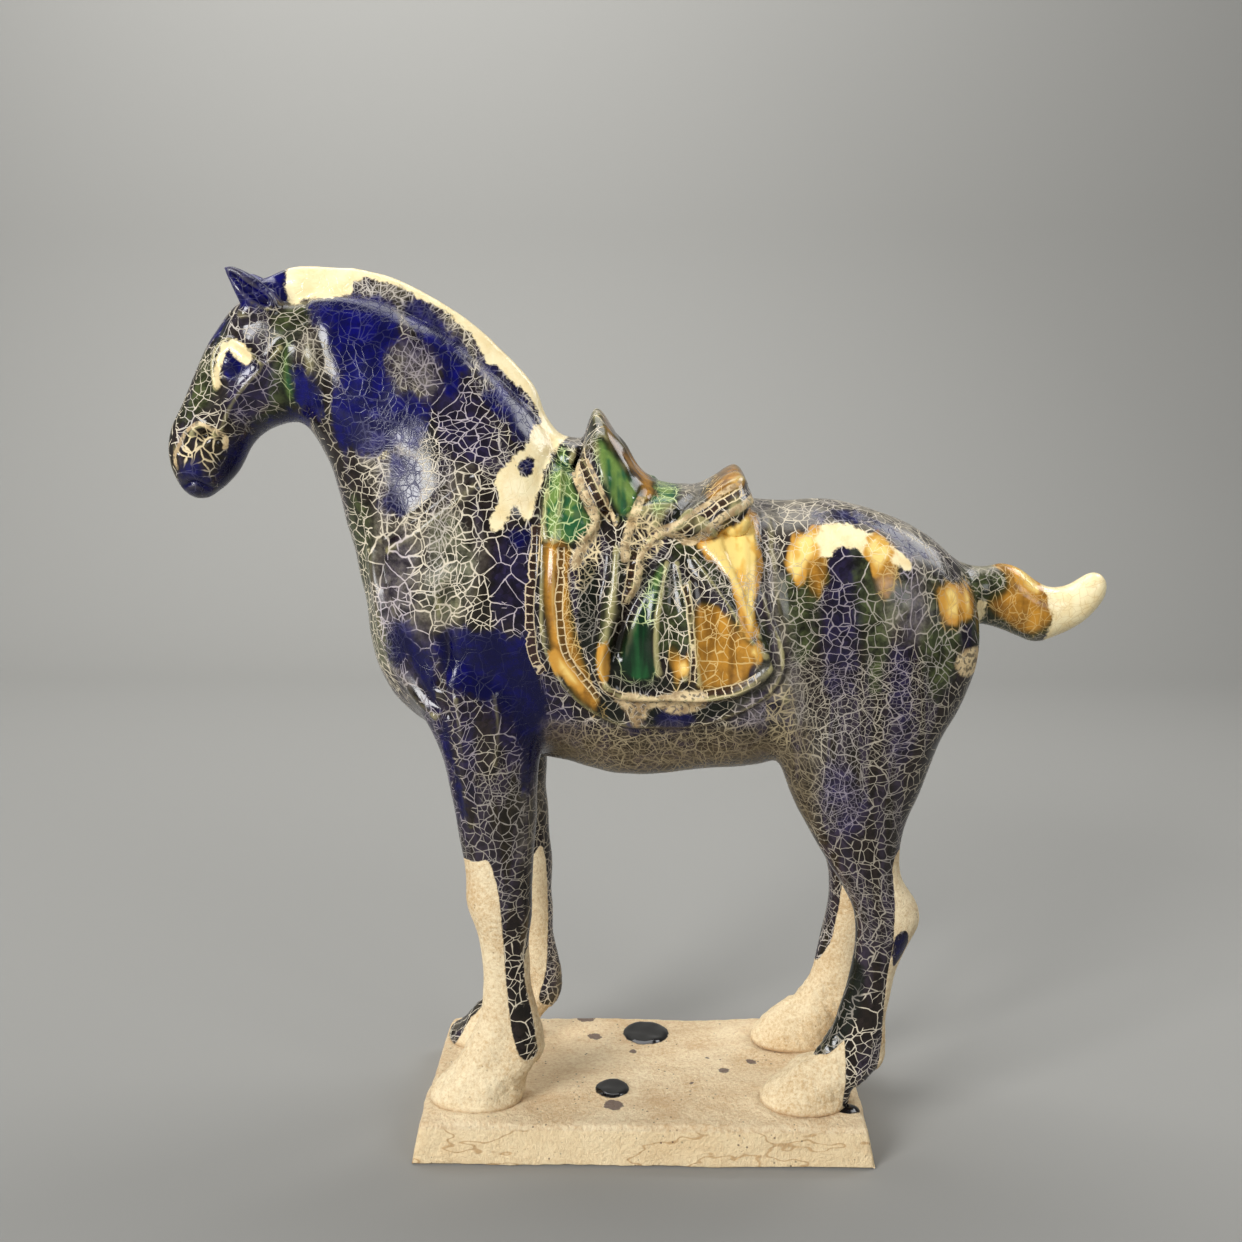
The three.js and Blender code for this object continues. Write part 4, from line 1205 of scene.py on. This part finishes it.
clay_outputs = ("Stain", "Specks", "Height")
clay_grain, tree, given, result = new_group("Clay grain", {"Place": (0.0, 0.0, 0.0)}, clay_outputs)
stain = tree.noise(given["Place"], 38.0, detail=6.0, roughness=0.68)
spots = tree.add("TexVoronoi", Vector=given["Place"], Scale=300.0)
rare = tree.ease(tree.noise(given["Place"], 60.0, detail=1.0), 0.46, 0.6)
grain = tree.noise(given["Place"], 620.0, detail=4.0, roughness=0.8)
lumps = tree.noise(given["Place"], 120.0)
tree.feed(result["Stain"], tree.plus(tree.times(stain, 0.4), tree.times(grain, 0.6)))
tree.feed(result["Specks"], tree.times(tree.ease(spots, 0.08, 0.18, 1.0, 0.0), rare))
tree.feed(result["Height"], tree.plus(tree.times(grain, 2.4), tree.times(lumps, 1.6)))
print("edge group", len(edge.nodes), "and clay group", len(clay_grain.nodes), "nodes")

# %% [markdown]
# Crackle forms in steps: a crack ends on an older one in a T, until the pieces are small. The node group
# does the same with cells round random points. It takes the two coordinates that lie in the surface, so
# that each crack goes straight in, and bends them a little, so that no crack is straight. Large cells
# come first. Each shoves the place at which the next, smaller cells are looked up by a random amount of
# its own, so the smaller cells are others on each side of an old crack, and end on it.

# %% Node group for crackle
CELLS = (8.4, 4.2, 2.1)
UNEVEN = (1.0, 0.95, 0.9)
LARGE_BEND = (24.0, 15.0)
SMALL_BEND = (110.0, 3.6)
TREMBLE = (420.0, 0.8)
SHOVE = 90.0


def shoved(tree, place, direction, most):
    """A place, moved along a direction times a length in mm."""
    shove = tree.stretched(direction, most)
    return tree.add("VectorMath", settings={"operation": "ADD"}, in_0=place, in_1=shove)


def cells(tree, place, size, uneven):
    """Cells of about this size in mm: the distance to the nearest wall, and a random colour for each."""
    inputs = {"Vector": place, "Scale": 1 / size, "Randomness": uneven}
    flat = {"voronoi_dimensions": "2D"}
    wall = tree.add("TexVoronoi", settings={**flat, "feature": "DISTANCE_TO_EDGE"}, **inputs)
    return tree.times(wall, size), tree.add("TexVoronoi", out="Color", settings=flat, **inputs)


crackle, tree, given, result = new_group(
    "Crackle", {"Place": (0.0, 0.0, 0.0), "Faces x": 0.0, "Faces z": 0.0, "Fineness": 0.0, "Width": 1.0},
    ("Lines", "Fine lines", "Cell"),
)
spot = tree.scaled(given["Place"], (1 / MM, 1 / MM, 1 / MM))
for scale, most in (LARGE_BEND, SMALL_BEND, TREMBLE):
    spot = shoved(tree, spot, tree.noise(given["Place"], scale, detail=0.5, out="Color"), most)
ragged = tree.times(tree.minus(tree.noise(given["Place"], 90.0), 0.5), 0.5)
faces_x = tree.calc("GREATER_THAN", tree.plus(given["Faces x"], ragged), 0.0)
faces_z = tree.calc("GREATER_THAN", tree.plus(given["Faces z"], ragged), 0.0)
faces_x = tree.times(faces_x, tree.rest(faces_z))
axes = tree.add("SeparateXYZ", Vector=spot).node.outputs
level = tree.pick(faces_x, axes["X"], axes["Y"])
upright = tree.pick(faces_z, axes["Z"], axes["Y"])
spot = tree.add("CombineXYZ", X=level, Y=upright, Z=0.0)
gaps = []
for size, uneven in zip(CELLS, UNEVEN):
    gap, random_colour = cells(tree, spot, size, uneven)
    gaps.append(gap)
    spot = shoved(tree, spot, random_colour, SHOVE)
swelling = tree.ease(tree.noise(given["Place"], 260.0), 0.3, 0.7, 0.65, 1.35)
width = tree.times(given["Width"], swelling)


def line(distance, least, most):
    """1 on a crack, 0 beyond it: half its width is between these two, in mm, times the width."""
    return tree.ease(distance, tree.times(width, least), tree.times(width, most), 1.0, 0.0)


patches = tree.plus(tree.noise(given["Place"], 45.0), given["Fineness"])
is_cut = tree.ease(patches, 0.34, 0.38)
is_fine = tree.ease(patches, 0.58, 0.64)
later_lines = tree.times(line(gaps[1], 0.03, 0.25), is_cut)
tree.feed(result["Lines"], tree.larger(line(gaps[0], 0.05, 0.3), later_lines))
tree.feed(result["Fine lines"], tree.times(line(gaps[2], 0.02, 0.19), is_fine))
tree.feed(result["Cell"], tree.add("SeparateColor", Color=random_colour))
print("crackle group has", len(crackle.nodes), "nodes")

# %% [markdown]
# The glaze material lays its colours in the order in which they cover each other in the kiln: near-black
# ground with purple and olive runs, then green, amber and cobalt blue, then the pale crackle with clay
# dust in it, then hazes, then pale ridges and near-black hollows, and last the smooth creamy glaze and the
# bare clay. Painted light comes in among them: painted shade in the saddle's dark hollows, over the
# throat, under the belly and in hollows, where the glaze also pools, painted sheens in the hazes on neck,
# jowl and chest, and a painted highlight on ridges, where the glaze also runs thin. Lines are rough and
# sunk, so they break the highlights.

# %% Glaze material
def new_material(name):
    """A node material with its tree and its Principled shader."""
    made = bpy.data.materials.new(name)
    made.use_nodes = True
    return made, Tree(made.node_tree), made.node_tree.nodes["Principled BSDF"]


glaze, tree, shader = new_material("glazed body")
place = tree.add("TexCoord", out="Object")


def zone(name, streak, fray, softness):
    """The mask of one stored zone, with a dripping edge: how far streaks and fraying move it, in mm, and
    over how many it fades."""
    inputs = {"Distance": tree.mark(name), "Streak": streak, "Fray": fray, "Softness": softness}
    return use_group(tree, edge, Place=place, **inputs)["Mask"]


EDGES = {
    "blue": (8.0, 6.0, 2.4), "violet": (10.0, 7.0, 4.0), "green": (5.0, 2.5, 2.4),
    "olive": (8.0, 5.0, 3.0), "amber": (10.0, 2.0, 1.3), "yellow": (10.0, 2.0, 1.3),
    "dark": (2.0, 2.5, 1.4), "cream": (4.0, 3.5, 0.6), "strand": (0.0, 1.0, 0.35),
    "bare": (1.2, 1.0, 0.25), "net": (3.0, 2.0, 1.0), "haze_sheen_and_shade": (8.0, 6.0, 5.0), "belly": (0.0, 6.0, 4.0),
    "dim": (6.0, 6.0, 9.0), "calm": (2.0, 2.0, 1.5),
}
mask = {name: zone(name, *shape) for name, shape in EDGES.items()}
streaks = tree.noise(tree.scaled(place, (1.0, 1.0, 0.14)), 75.0)
mottle = tree.noise(place, 130.0, detail=4.0, roughness=0.65)
dusting = tree.noise(place, 900.0, detail=3.0, roughness=0.7)
trickles = tree.noise(tree.scaled(place, (1.0, 1.0, 0.1)), 190.0)
from_fine = tree.ease(tree.mark("fine"), -3.0, 3.0, 0.0, 0.35, shape="LINEAR")
fineness = tree.plus(from_fine, tree.ease(streaks, 0.4, 0.65, -0.08, 0.12))
width = tree.plus(1.0, tree.larger(tree.times(mask["net"], 0.9), tree.times(mask["haze_sheen_and_shade"], 0.45)))
cracks = use_group(
    tree, crackle, Place=place, Faces_x=tree.mark("faces_x"), Faces_z=tree.mark("faces_z"),
    Fineness=fineness, Width=width,
)
print("the glaze has", len(mask), "zones")

# %% Ladders of glaze between two rails
RUNG_GAP = 3.5
in_ladder = tree.ease(tree.mark("ladder"), -0.2, 0.1)
waver = tree.times(tree.minus(mottle, 0.5), 2.5)
to_rail = tree.calc("ABSOLUTE", tree.plus(tree.mark("ladder"), waver))
steps = tree.plus(tree.calc("DIVIDE", tree.mark("rung"), RUNG_GAP), tree.times(waver, 0.5))
to_rung = tree.calc("ABSOLUTE", tree.minus(tree.calc("FRACT", steps), 0.5))
rungs = tree.times(tree.ease(to_rung, 0.03, 0.11, 0.9, 0.0), in_ladder)
ladder_lines = tree.larger(tree.ease(to_rail, 0.08, 0.42, 0.9, 0.0), rungs)
crazed = tree.rest(tree.larger(in_ladder, mask["calm"]))
cracked = tree.times(tree.larger(cracks["Lines"], tree.times(cracks["Fine lines"], 0.55)), crazed)
all_lines = tree.larger(ladder_lines, cracked)
print("rungs every", RUNG_GAP, "mm")

# %% Colours of the glazes
def ramp(value, stops):
    """Colours along a value, from pairs of a place between 0 and 1 and a colour."""
    bar = tree.add("ValToRGB", Fac=value)
    elements = bar.node.color_ramp.elements
    while len(elements) < len(stops):
        elements.new(1.0)
    for element, (spot, colour) in zip(elements, stops):
        element.position = spot
        element.color = srgb(*colour)
    return bar


LAPPET_RISE = (0.235, 0.262)
NECK_RISE = (0.29, 0.32)
SADDLE_RISE = (0.185, 0.2)
FOOT_RISE = (0.0182, 0.0212)
TAIL_RUN = (0.12, 0.15)
ground = ramp(streaks, [
    (0.34, (30, 25, 19)), (0.43, (40, 33, 32)), (0.5, (34, 28, 23)), (0.58, (50, 43, 54)),
    (0.66, (36, 31, 22)),
])
soft_mottle = tree.ease(mottle, 0.35, 0.65)
olives = tree.blend(soft_mottle, (38, 41, 24), (72, 80, 48))
violets = tree.blend(soft_mottle, (26, 21, 44), (42, 37, 76))
height = tree.add("SeparateXYZ", Vector=place, out="Z")
pale_greens = tree.blend(tree.ease(trickles, 0.42, 0.6), (42, 88, 54), (104, 130, 66))
deep_greens = tree.blend(tree.ease(trickles, 0.42, 0.62), (16, 42, 24), (34, 84, 46))
greens = tree.blend(tree.ease(height, *LAPPET_RISE), deep_greens, pale_greens)
greens = tree.blend(tree.ease(tree.mark("green"), 0.0, 3.5), (24, 36, 20), greens)
patchy = tree.plus(tree.times(trickles, 0.55), tree.times(mottle, 0.45))
ambers = tree.blend(tree.ease(patchy, 0.34, 0.64), (116, 78, 28), (190, 134, 50))
ambers = tree.blend(tree.ease(tree.mark("amber"), -0.5, 3.5), (52, 48, 20), ambers)
shoulder_blues = tree.blend(tree.ease(mottle, 0.45, 0.75), (2, 0, 52), (8, 6, 80))
neck_blues = tree.blend(tree.ease(mottle, 0.4, 0.7), (3, 2, 60), (9, 8, 94))
blues = tree.blend(tree.ease(height, *NECK_RISE), shoulder_blues, neck_blues)
yellows = tree.blend(tree.ease(trickles, 0.32, 0.5), (218, 170, 80), (238, 208, 124))
yellows = tree.blend(tree.ease(tree.mark("yellow"), 0.0, 3.0), (196, 142, 60), yellows)
strand_tone = tree.blend(tree.ease(mottle, 0.4, 0.65), (222, 198, 152), (150, 124, 88))
on_tail = tree.ease(tree.add("SeparateXYZ", Vector=place), *TAIL_RUN, 0.0, 0.35)
creams = tree.blend(tree.ease(mottle, 0.35, 0.7), (246, 230, 184), (236, 212, 158))
creams = tree.blend(tree.times(all_lines, on_tail), creams, (196, 164, 110))
# The dark zone holds dark runs of glaze, and in the saddle's hollows painted shade.
colour = tree.coats(ground, [
    (tree.times(mask["violet"], 0.55), violets), (tree.times(mask["olive"], 0.85), olives),
    (mask["green"], greens), (mask["amber"], ambers), (mask["dark"], (20, 24, 15)),
    (mask["blue"], blues), (tree.times(in_ladder, 0.75), (62, 44, 28)),
])
plain = tree.larger(tree.larger(mask["green"], mask["amber"]), tree.larger(mask["blue"], mask["calm"]))
shade = tree.pick(tree.times(plain, 0.8), tree.ease(cracks["Cell"], 0.0, 1.0, 0.55, 1.25), 1.0)
colour = tree.stretched(colour, shade)
print("glaze colours laid over", len(glaze.node_tree.nodes), "nodes")

# %% Lines, dust, ridges and creamy glaze
# Lines take the tone of their glaze; under the belly they are darker, which is painted shade.
line_colour = tree.blend(tree.ease(streaks, 0.45, 0.62), (214, 202, 178), (186, 177, 166))
line_colour = tree.coats(line_colour, [
    (tree.times(mask["violet"], 0.7), (168, 156, 176)), (mask["green"], (184, 200, 138)),
    (mask["amber"], (212, 178, 112)), (mask["blue"], (100, 98, 140)),
    (tree.times(mask["belly"], 0.8), (146, 130, 96)), (mask["net"], (222, 202, 158)),
    (ladder_lines, (226, 204, 160)),
])
# Crackle is drawn fainter over blue, dark and dim zones; over the throat and in the saddle's dark hollows
# this darkening is painted shade.
line_strength = 1.0
for name, amount in (("blue", 0.8), ("dim", 0.48), ("dark", 0.6)):
    line_strength = tree.minus(line_strength, tree.times(mask[name], amount))
line_strength = tree.larger(line_strength, tree.times(ladder_lines, 0.9))
on_top = tree.times(tree.ease(tree.mark("up"), 0.6, 0.95), tree.rest(plain))
# Dust in the hazes and on upward faces; in the hazes low on the neck, on the jowl and on the chest it is
# also a painted sheen, and under the belly its dark brown is painted shade.
dust_sheen_and_shade = tree.times(mask["haze_sheen_and_shade"], tree.ease(mottle, 0.3, 0.7, 0.0, 0.3))
dust_sheen_and_shade = tree.larger(dust_sheen_and_shade, tree.times(on_top, tree.ease(mottle, 0.3, 0.6, 0.1, 0.45)))
dust_sheen_and_shade = tree.times(dust_sheen_and_shade, tree.rest(mask["blue"], 0.8))
dust_sheen_and_shade = tree.larger(dust_sheen_and_shade, tree.times(mask["belly"], tree.ease(mottle, 0.35, 0.65, 0.05, 0.4)))
dust_sheen_and_shade_colour = tree.blend(mask["belly"], (168, 158, 138), (92, 80, 58))
# Ridges are paler, most on the saddle: the glaze runs thin there, and the paleness is also a painted
# highlight.
on_saddle = tree.ease(height, *SADDLE_RISE, 0.25, 1.0)
ridge_highlight_and_thin_glaze = tree.times(tree.ease(tree.mark("crest"), 0.15, 0.6, 0.0, 0.5), on_saddle)
broken = tree.ease(tree.noise(place, 520.0), 0.4, 0.52, 0.25, 0.95)
colour = tree.coats(colour, [
    (tree.times(all_lines, line_strength), line_colour),
    (tree.times(dust_sheen_and_shade, tree.ease(dusting, 0.3, 0.7, 0.6, 1.3)), dust_sheen_and_shade_colour),
    (tree.times(ridge_highlight_and_thin_glaze, tree.rest(mask["blue"], 0.85)), (196, 186, 130)),
    # Hollows turn near-black: the glaze pools there, and the darkening is also painted shade.
    (tree.ease(tree.mark("crest"), -0.5, -0.1, 0.5, 0.0), (24, 19, 12)),
    (tree.times(mask["strand"], broken), strand_tone), (mask["cream"], creams),
    (tree.times(mask["yellow"], tree.rest(all_lines, 0.7)), yellows),
])
print("with lines and dust", len(glaze.node_tree.nodes), "nodes")

# %% Bare clay, gloss and relief of the body
GLAZE_ROUGHNESS = 0.17
CLAY_ROUGHNESS = 0.77
clay = use_group(tree, clay_grain, Place=place)
clay_tone = tree.blend(tree.ease(clay["Stain"], 0.36, 0.7), (238, 220, 182), (190, 154, 106))
# The foot of each hoof, where it meets the slab, is darker red-brown: painted shade.
contact_shade = tree.ease(height, *FOOT_RISE, 0.5, 0.0)
speckled = tree.times(clay["Specks"], 0.5)
clay_tone = tree.coats(clay_tone, [(contact_shade, (150, 104, 62)), (speckled, (120, 88, 58))])
tree.feed(shader.inputs["Base Color"], tree.blend(mask["bare"], colour, clay_tone))
rough = tree.larger(tree.times(all_lines, 0.35), tree.times(dust_sheen_and_shade, 0.5))
rough = tree.larger(rough, tree.times(mask["strand"], 0.4))
roughness = tree.plus(GLAZE_ROUGHNESS, tree.times(rough, tree.rest(mask["cream"])))
roughness = tree.plus(roughness, tree.times(mask["bare"], CLAY_ROUGHNESS - GLAZE_ROUGHNESS))
tree.feed(shader.inputs["Roughness"], roughness)
shader.inputs["Specular IOR Level"].default_value = 0.4
glaze_height = tree.minus(tree.plus(1.2, tree.times(mottle, 0.25)), tree.times(all_lines, 0.1))
heights = tree.pick(mask["bare"], glaze_height, clay["Height"])
tree.feed(shader.inputs["Normal"], tree.add("Bump", Strength=0.8, Distance=0.5 * MM, Height=heights))
print("glaze material has", len(glaze.node_tree.nodes), "nodes")

# %% [markdown]
# The slab is a plate of the same clay, cut with slanting sides and worn round at its edges. Clay was
# smeared round the hooves to hold them. Drops of black glaze fell on it and set as beads, among small
# spots and specks.

# %% Slab
slab_size = (slab_high - slab_low) / MM
FLARE = 3.5
HOOF_MARKS = [(-74, -30), (-68, 30), (71, -30), (67, 30)]
BEADS = [((1, 35), (11, 12.5)), ((-14, -21), (7.6, 8.6)), ((88, -38), (6.5, 4))]
SPOTS = [
    ((-29, 51), 4.0), ((-24, 31), 3.2), ((-13, -35), 4.2), ((37, -2), 2.6), ((30, 10), 1.4),
    ((-5, 16), 1.3), ((22, -14), 1.2), ((50, 7), 2.2), ((-55, -17), 1.6),
]
SLAB_CELL = 1.25
SLAB_WAVES = [(0.9, 45), (0.45, 12), (0.25, 5)]
BEAD_HEIGHT = 1.3
SMEAR_HEIGHT = 1.2
HOOF_RADIUS = 17
SINK = 0.5
hx, hy, top = slab_size[0] / 2, slab_size[1] / 2, slab_size[2]
corners = [(-hx, -hy, 0), (hx, -hy, 0), (hx, hy, 0), (-hx, hy, 0)]
corners += [(x * (1 - FLARE / hx), y * (1 - FLARE / hy), top) for x, y, _ in corners]
box_faces = [[3, 2, 1, 0], [4, 5, 6, 7]] + [[k, (k + 1) % 4, (k + 1) % 4 + 4, k + 4] for k in range(4)]
plate, plate_quads = fused([(np.array(corners, float), box_faces)], SLAB_CELL)
plate_edges = edges_of(plate_quads)
plate = relaxed(plate, plate_edges, even(plate), rounds=10)
px, py, pz = plate.T
on_top = step_up(pz, top - 4, top - 1.5)
bead = np.full(len(plate), -REACH)
for (bx, by), (rx, ry) in BEADS:
    bead = np.maximum(bead, (1 - np.hypot((px - bx) / rx, (py - by) / ry)) * min(rx, ry))
spot = np.max([radius - np.hypot(px - sx, py - sy) for (sx, sy), radius in SPOTS], axis=0)
smear = sum(
    hill(np.hypot((px - hoof_x) / 1.25, py - hoof_y) - HOOF_RADIUS, 3.5) for hoof_x, hoof_y in HOOF_MARKS
)
rise = on_top * (BEAD_HEIGHT * step_up(bead, -0.6, 1.6) + SMEAR_HEIGHT * np.clip(smear, 0, 1))
rise += sum(height * slow_waves(plate, length) for height, length in SLAB_WAVES)
plate = pushed(plate, plate_quads, rise - SINK)
plate[:, 2] = np.clip(plate[:, 2], 0, None)
slab_marks = {"bead": bead, "spot": np.maximum(spot, -REACH), "front": (pz < top - 3) * 1.0}
print("slab skin has", len(plate), "points")

# %% Clay material
SLAB_ROUGHNESS = 0.85
BEAD_ROUGHNESS = 0.12
earth, tree, shader = new_material("bare clay")
place = tree.add("TexCoord", out="Object")
clay = use_group(tree, clay_grain, Place=place)
bead_mask = zone("bead", 0.6, 0.8, 0.2)
spot_mask = zone("spot", 3.0, 3.0, 0.3)
# The sides of the slab: paler than the top, which is painted light, and with stronger tide lines.
front = tree.mark("front")
stains = tree.noise(tree.scaled(place, (0.5, 1.0, 1.6)), 55.0, detail=4.0, roughness=0.65)
tide = tree.noise(tree.scaled(place, (0.35, 0.6, 1.0)), 60.0, detail=3.0, roughness=0.6)
tide = tree.ease(tree.calc("ABSOLUTE", tree.minus(tide, 0.52)), 0.002, 0.016, 0.6, 0.0)
colour = tree.blend(tree.ease(clay["Stain"], 0.36, 0.7), (255, 234, 194), (216, 177, 127))
colour = tree.coats(colour, [
    (tree.times(tree.ease(stains, 0.5, 0.7), 0.4), (204, 158, 106)),
    (tree.times(front, 0.5), (255, 228, 178)), (tree.times(tide, tree.plus(0.15, front)), (190, 146, 94)),
    (tree.times(clay["Specks"], 0.8), (80, 52, 40)), (tree.times(spot_mask, 0.8), (74, 56, 66)),
    (bead_mask, (16, 13, 15)),
])
tree.feed(shader.inputs["Base Color"], colour)
clay_gloss = tree.times(bead_mask, SLAB_ROUGHNESS - BEAD_ROUGHNESS)
tree.feed(shader.inputs["Roughness"], tree.minus(SLAB_ROUGHNESS, clay_gloss))
heights = tree.times(clay["Height"], tree.rest(bead_mask))
tree.feed(shader.inputs["Normal"], tree.add("Bump", Strength=1.0, Distance=0.8 * MM, Height=heights))
print("clay material has", len(earth.node_tree.nodes), "nodes")

# %% [markdown]
# Both skins become meshes in the frame, each riding on the root and standing in for its solid.

# %% Make the pieces
def new_piece(name, points, faces, marks, material, solid):
    """A smooth mesh with its marks as point values, handed to the frame."""
    mesh = new_mesh(name, points, faces)
    mesh.shade_smooth()
    for label, values in marks.items():
        mesh.attributes.new(label, "FLOAT", "POINT").data.foreach_set("value", values.astype(np.float32))
    mesh.materials.append(material)
    piece = placed(name, mesh)
    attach(piece, "root")
    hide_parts(solid)


new_piece("glazed_horse", in_metres(skin), triangles, marks, glaze, "horse")
new_piece("clay_slab", plate * MM, plate_quads, slab_marks, earth, "plinth")
print("pieces made")

# %% [markdown]
# A plain pale floor that sweeps up behind the object, as paper does in a studio, one large soft light
# from above and before, a weaker one from the other side, and a pale sky. The camera stands where the
# photographer's did.

# %% Floor
FLOOR_FRONT = -2.0
FLOOR_BACK = 1.0
SWEEP_RADIUS = 0.6
SWEEP_TOP = 2.4
FLOOR_HALF_WIDTH = 3.0
turn = np.linspace(0, np.pi / 2, 24)
sweep = FLOOR_BACK + SWEEP_RADIUS * np.sin(turn)
run = np.concatenate([[FLOOR_FRONT], sweep, [FLOOR_BACK + SWEEP_RADIUS]])
rise = np.concatenate([[0.0], SWEEP_RADIUS * (1 - np.cos(turn)), [SWEEP_TOP]])
left = np.stack([np.full(len(run), -FLOOR_HALF_WIDTH), run, rise], 1)
right = left * [-1, 1, 1]
first = np.arange(len(run) - 1)
strips = np.stack([first, first + len(run), first + len(run) + 1, first + 1], 1)
floor_mesh = new_mesh("floor", np.vstack([left, right]), strips)
floor_mesh.shade_smooth()
floor = placed("floor", floor_mesh)
paper, tree, shader = new_material("paper")
shader.inputs["Base Color"].default_value = srgb(139, 138, 134)
shader.inputs["Roughness"].default_value = 0.8
floor_mesh.materials.append(paper)
print("the floor has", len(strips), "strips")

# %% Lights and camera
def soft_light(name, place, target, size, power):
    """A square area light at a place, turned to a target."""
    light = bpy.data.lights.new(name, "AREA")
    light.size = size
    light.energy = power
    holder = placed(name, light)
    holder.location = place
    aim = mathutils.Vector(target) - mathutils.Vector(place)
    holder.rotation_euler = aim.to_track_quat("-Z", "Y").to_euler()


MIDDLE = (0, 0, 0.2)
LIGHTS = {
    "key": ((-1.5, -1.75, 1.15), MIDDLE, 1.0, 70.0), "fill": ((1.5, -1.7, 1.3), MIDDLE, 0.9, 12.0),
    "rim": ((0.7, 0.35, 0.95), MIDDLE, 0.5, 5.0),
    "backdrop": ((-0.35, 0.75, 1.5), (-0.1, 1.6, 0.4), 1.4, 24.0),
}
for name, settings in LIGHTS.items():
    soft_light(name, *settings)
bpy.context.scene.view_settings.view_transform = "Standard"
world = bpy.data.worlds.new("studio")
bpy.context.scene.world = world
world.use_nodes = True
sky = world.node_tree.nodes["Background"].inputs
sky["Color"].default_value = srgb(225, 228, 232)
sky["Strength"].default_value = 0.25

CAMERA_PLACE = (0.002, -0.5976, 0.3205)
CAMERA_PITCH = math.radians(90 - 8.84)
CAMERA_TURN = math.radians(1.2)
LENS = 39.71
view = bpy.data.cameras.new("camera")
view.lens = LENS
camera = placed("camera", view)
camera.location = CAMERA_PLACE
camera.rotation_euler = (CAMERA_PITCH, 0, CAMERA_TURN)
bpy.context.scene.camera = camera
print("camera", np.round(CAMERA_PLACE, 3))
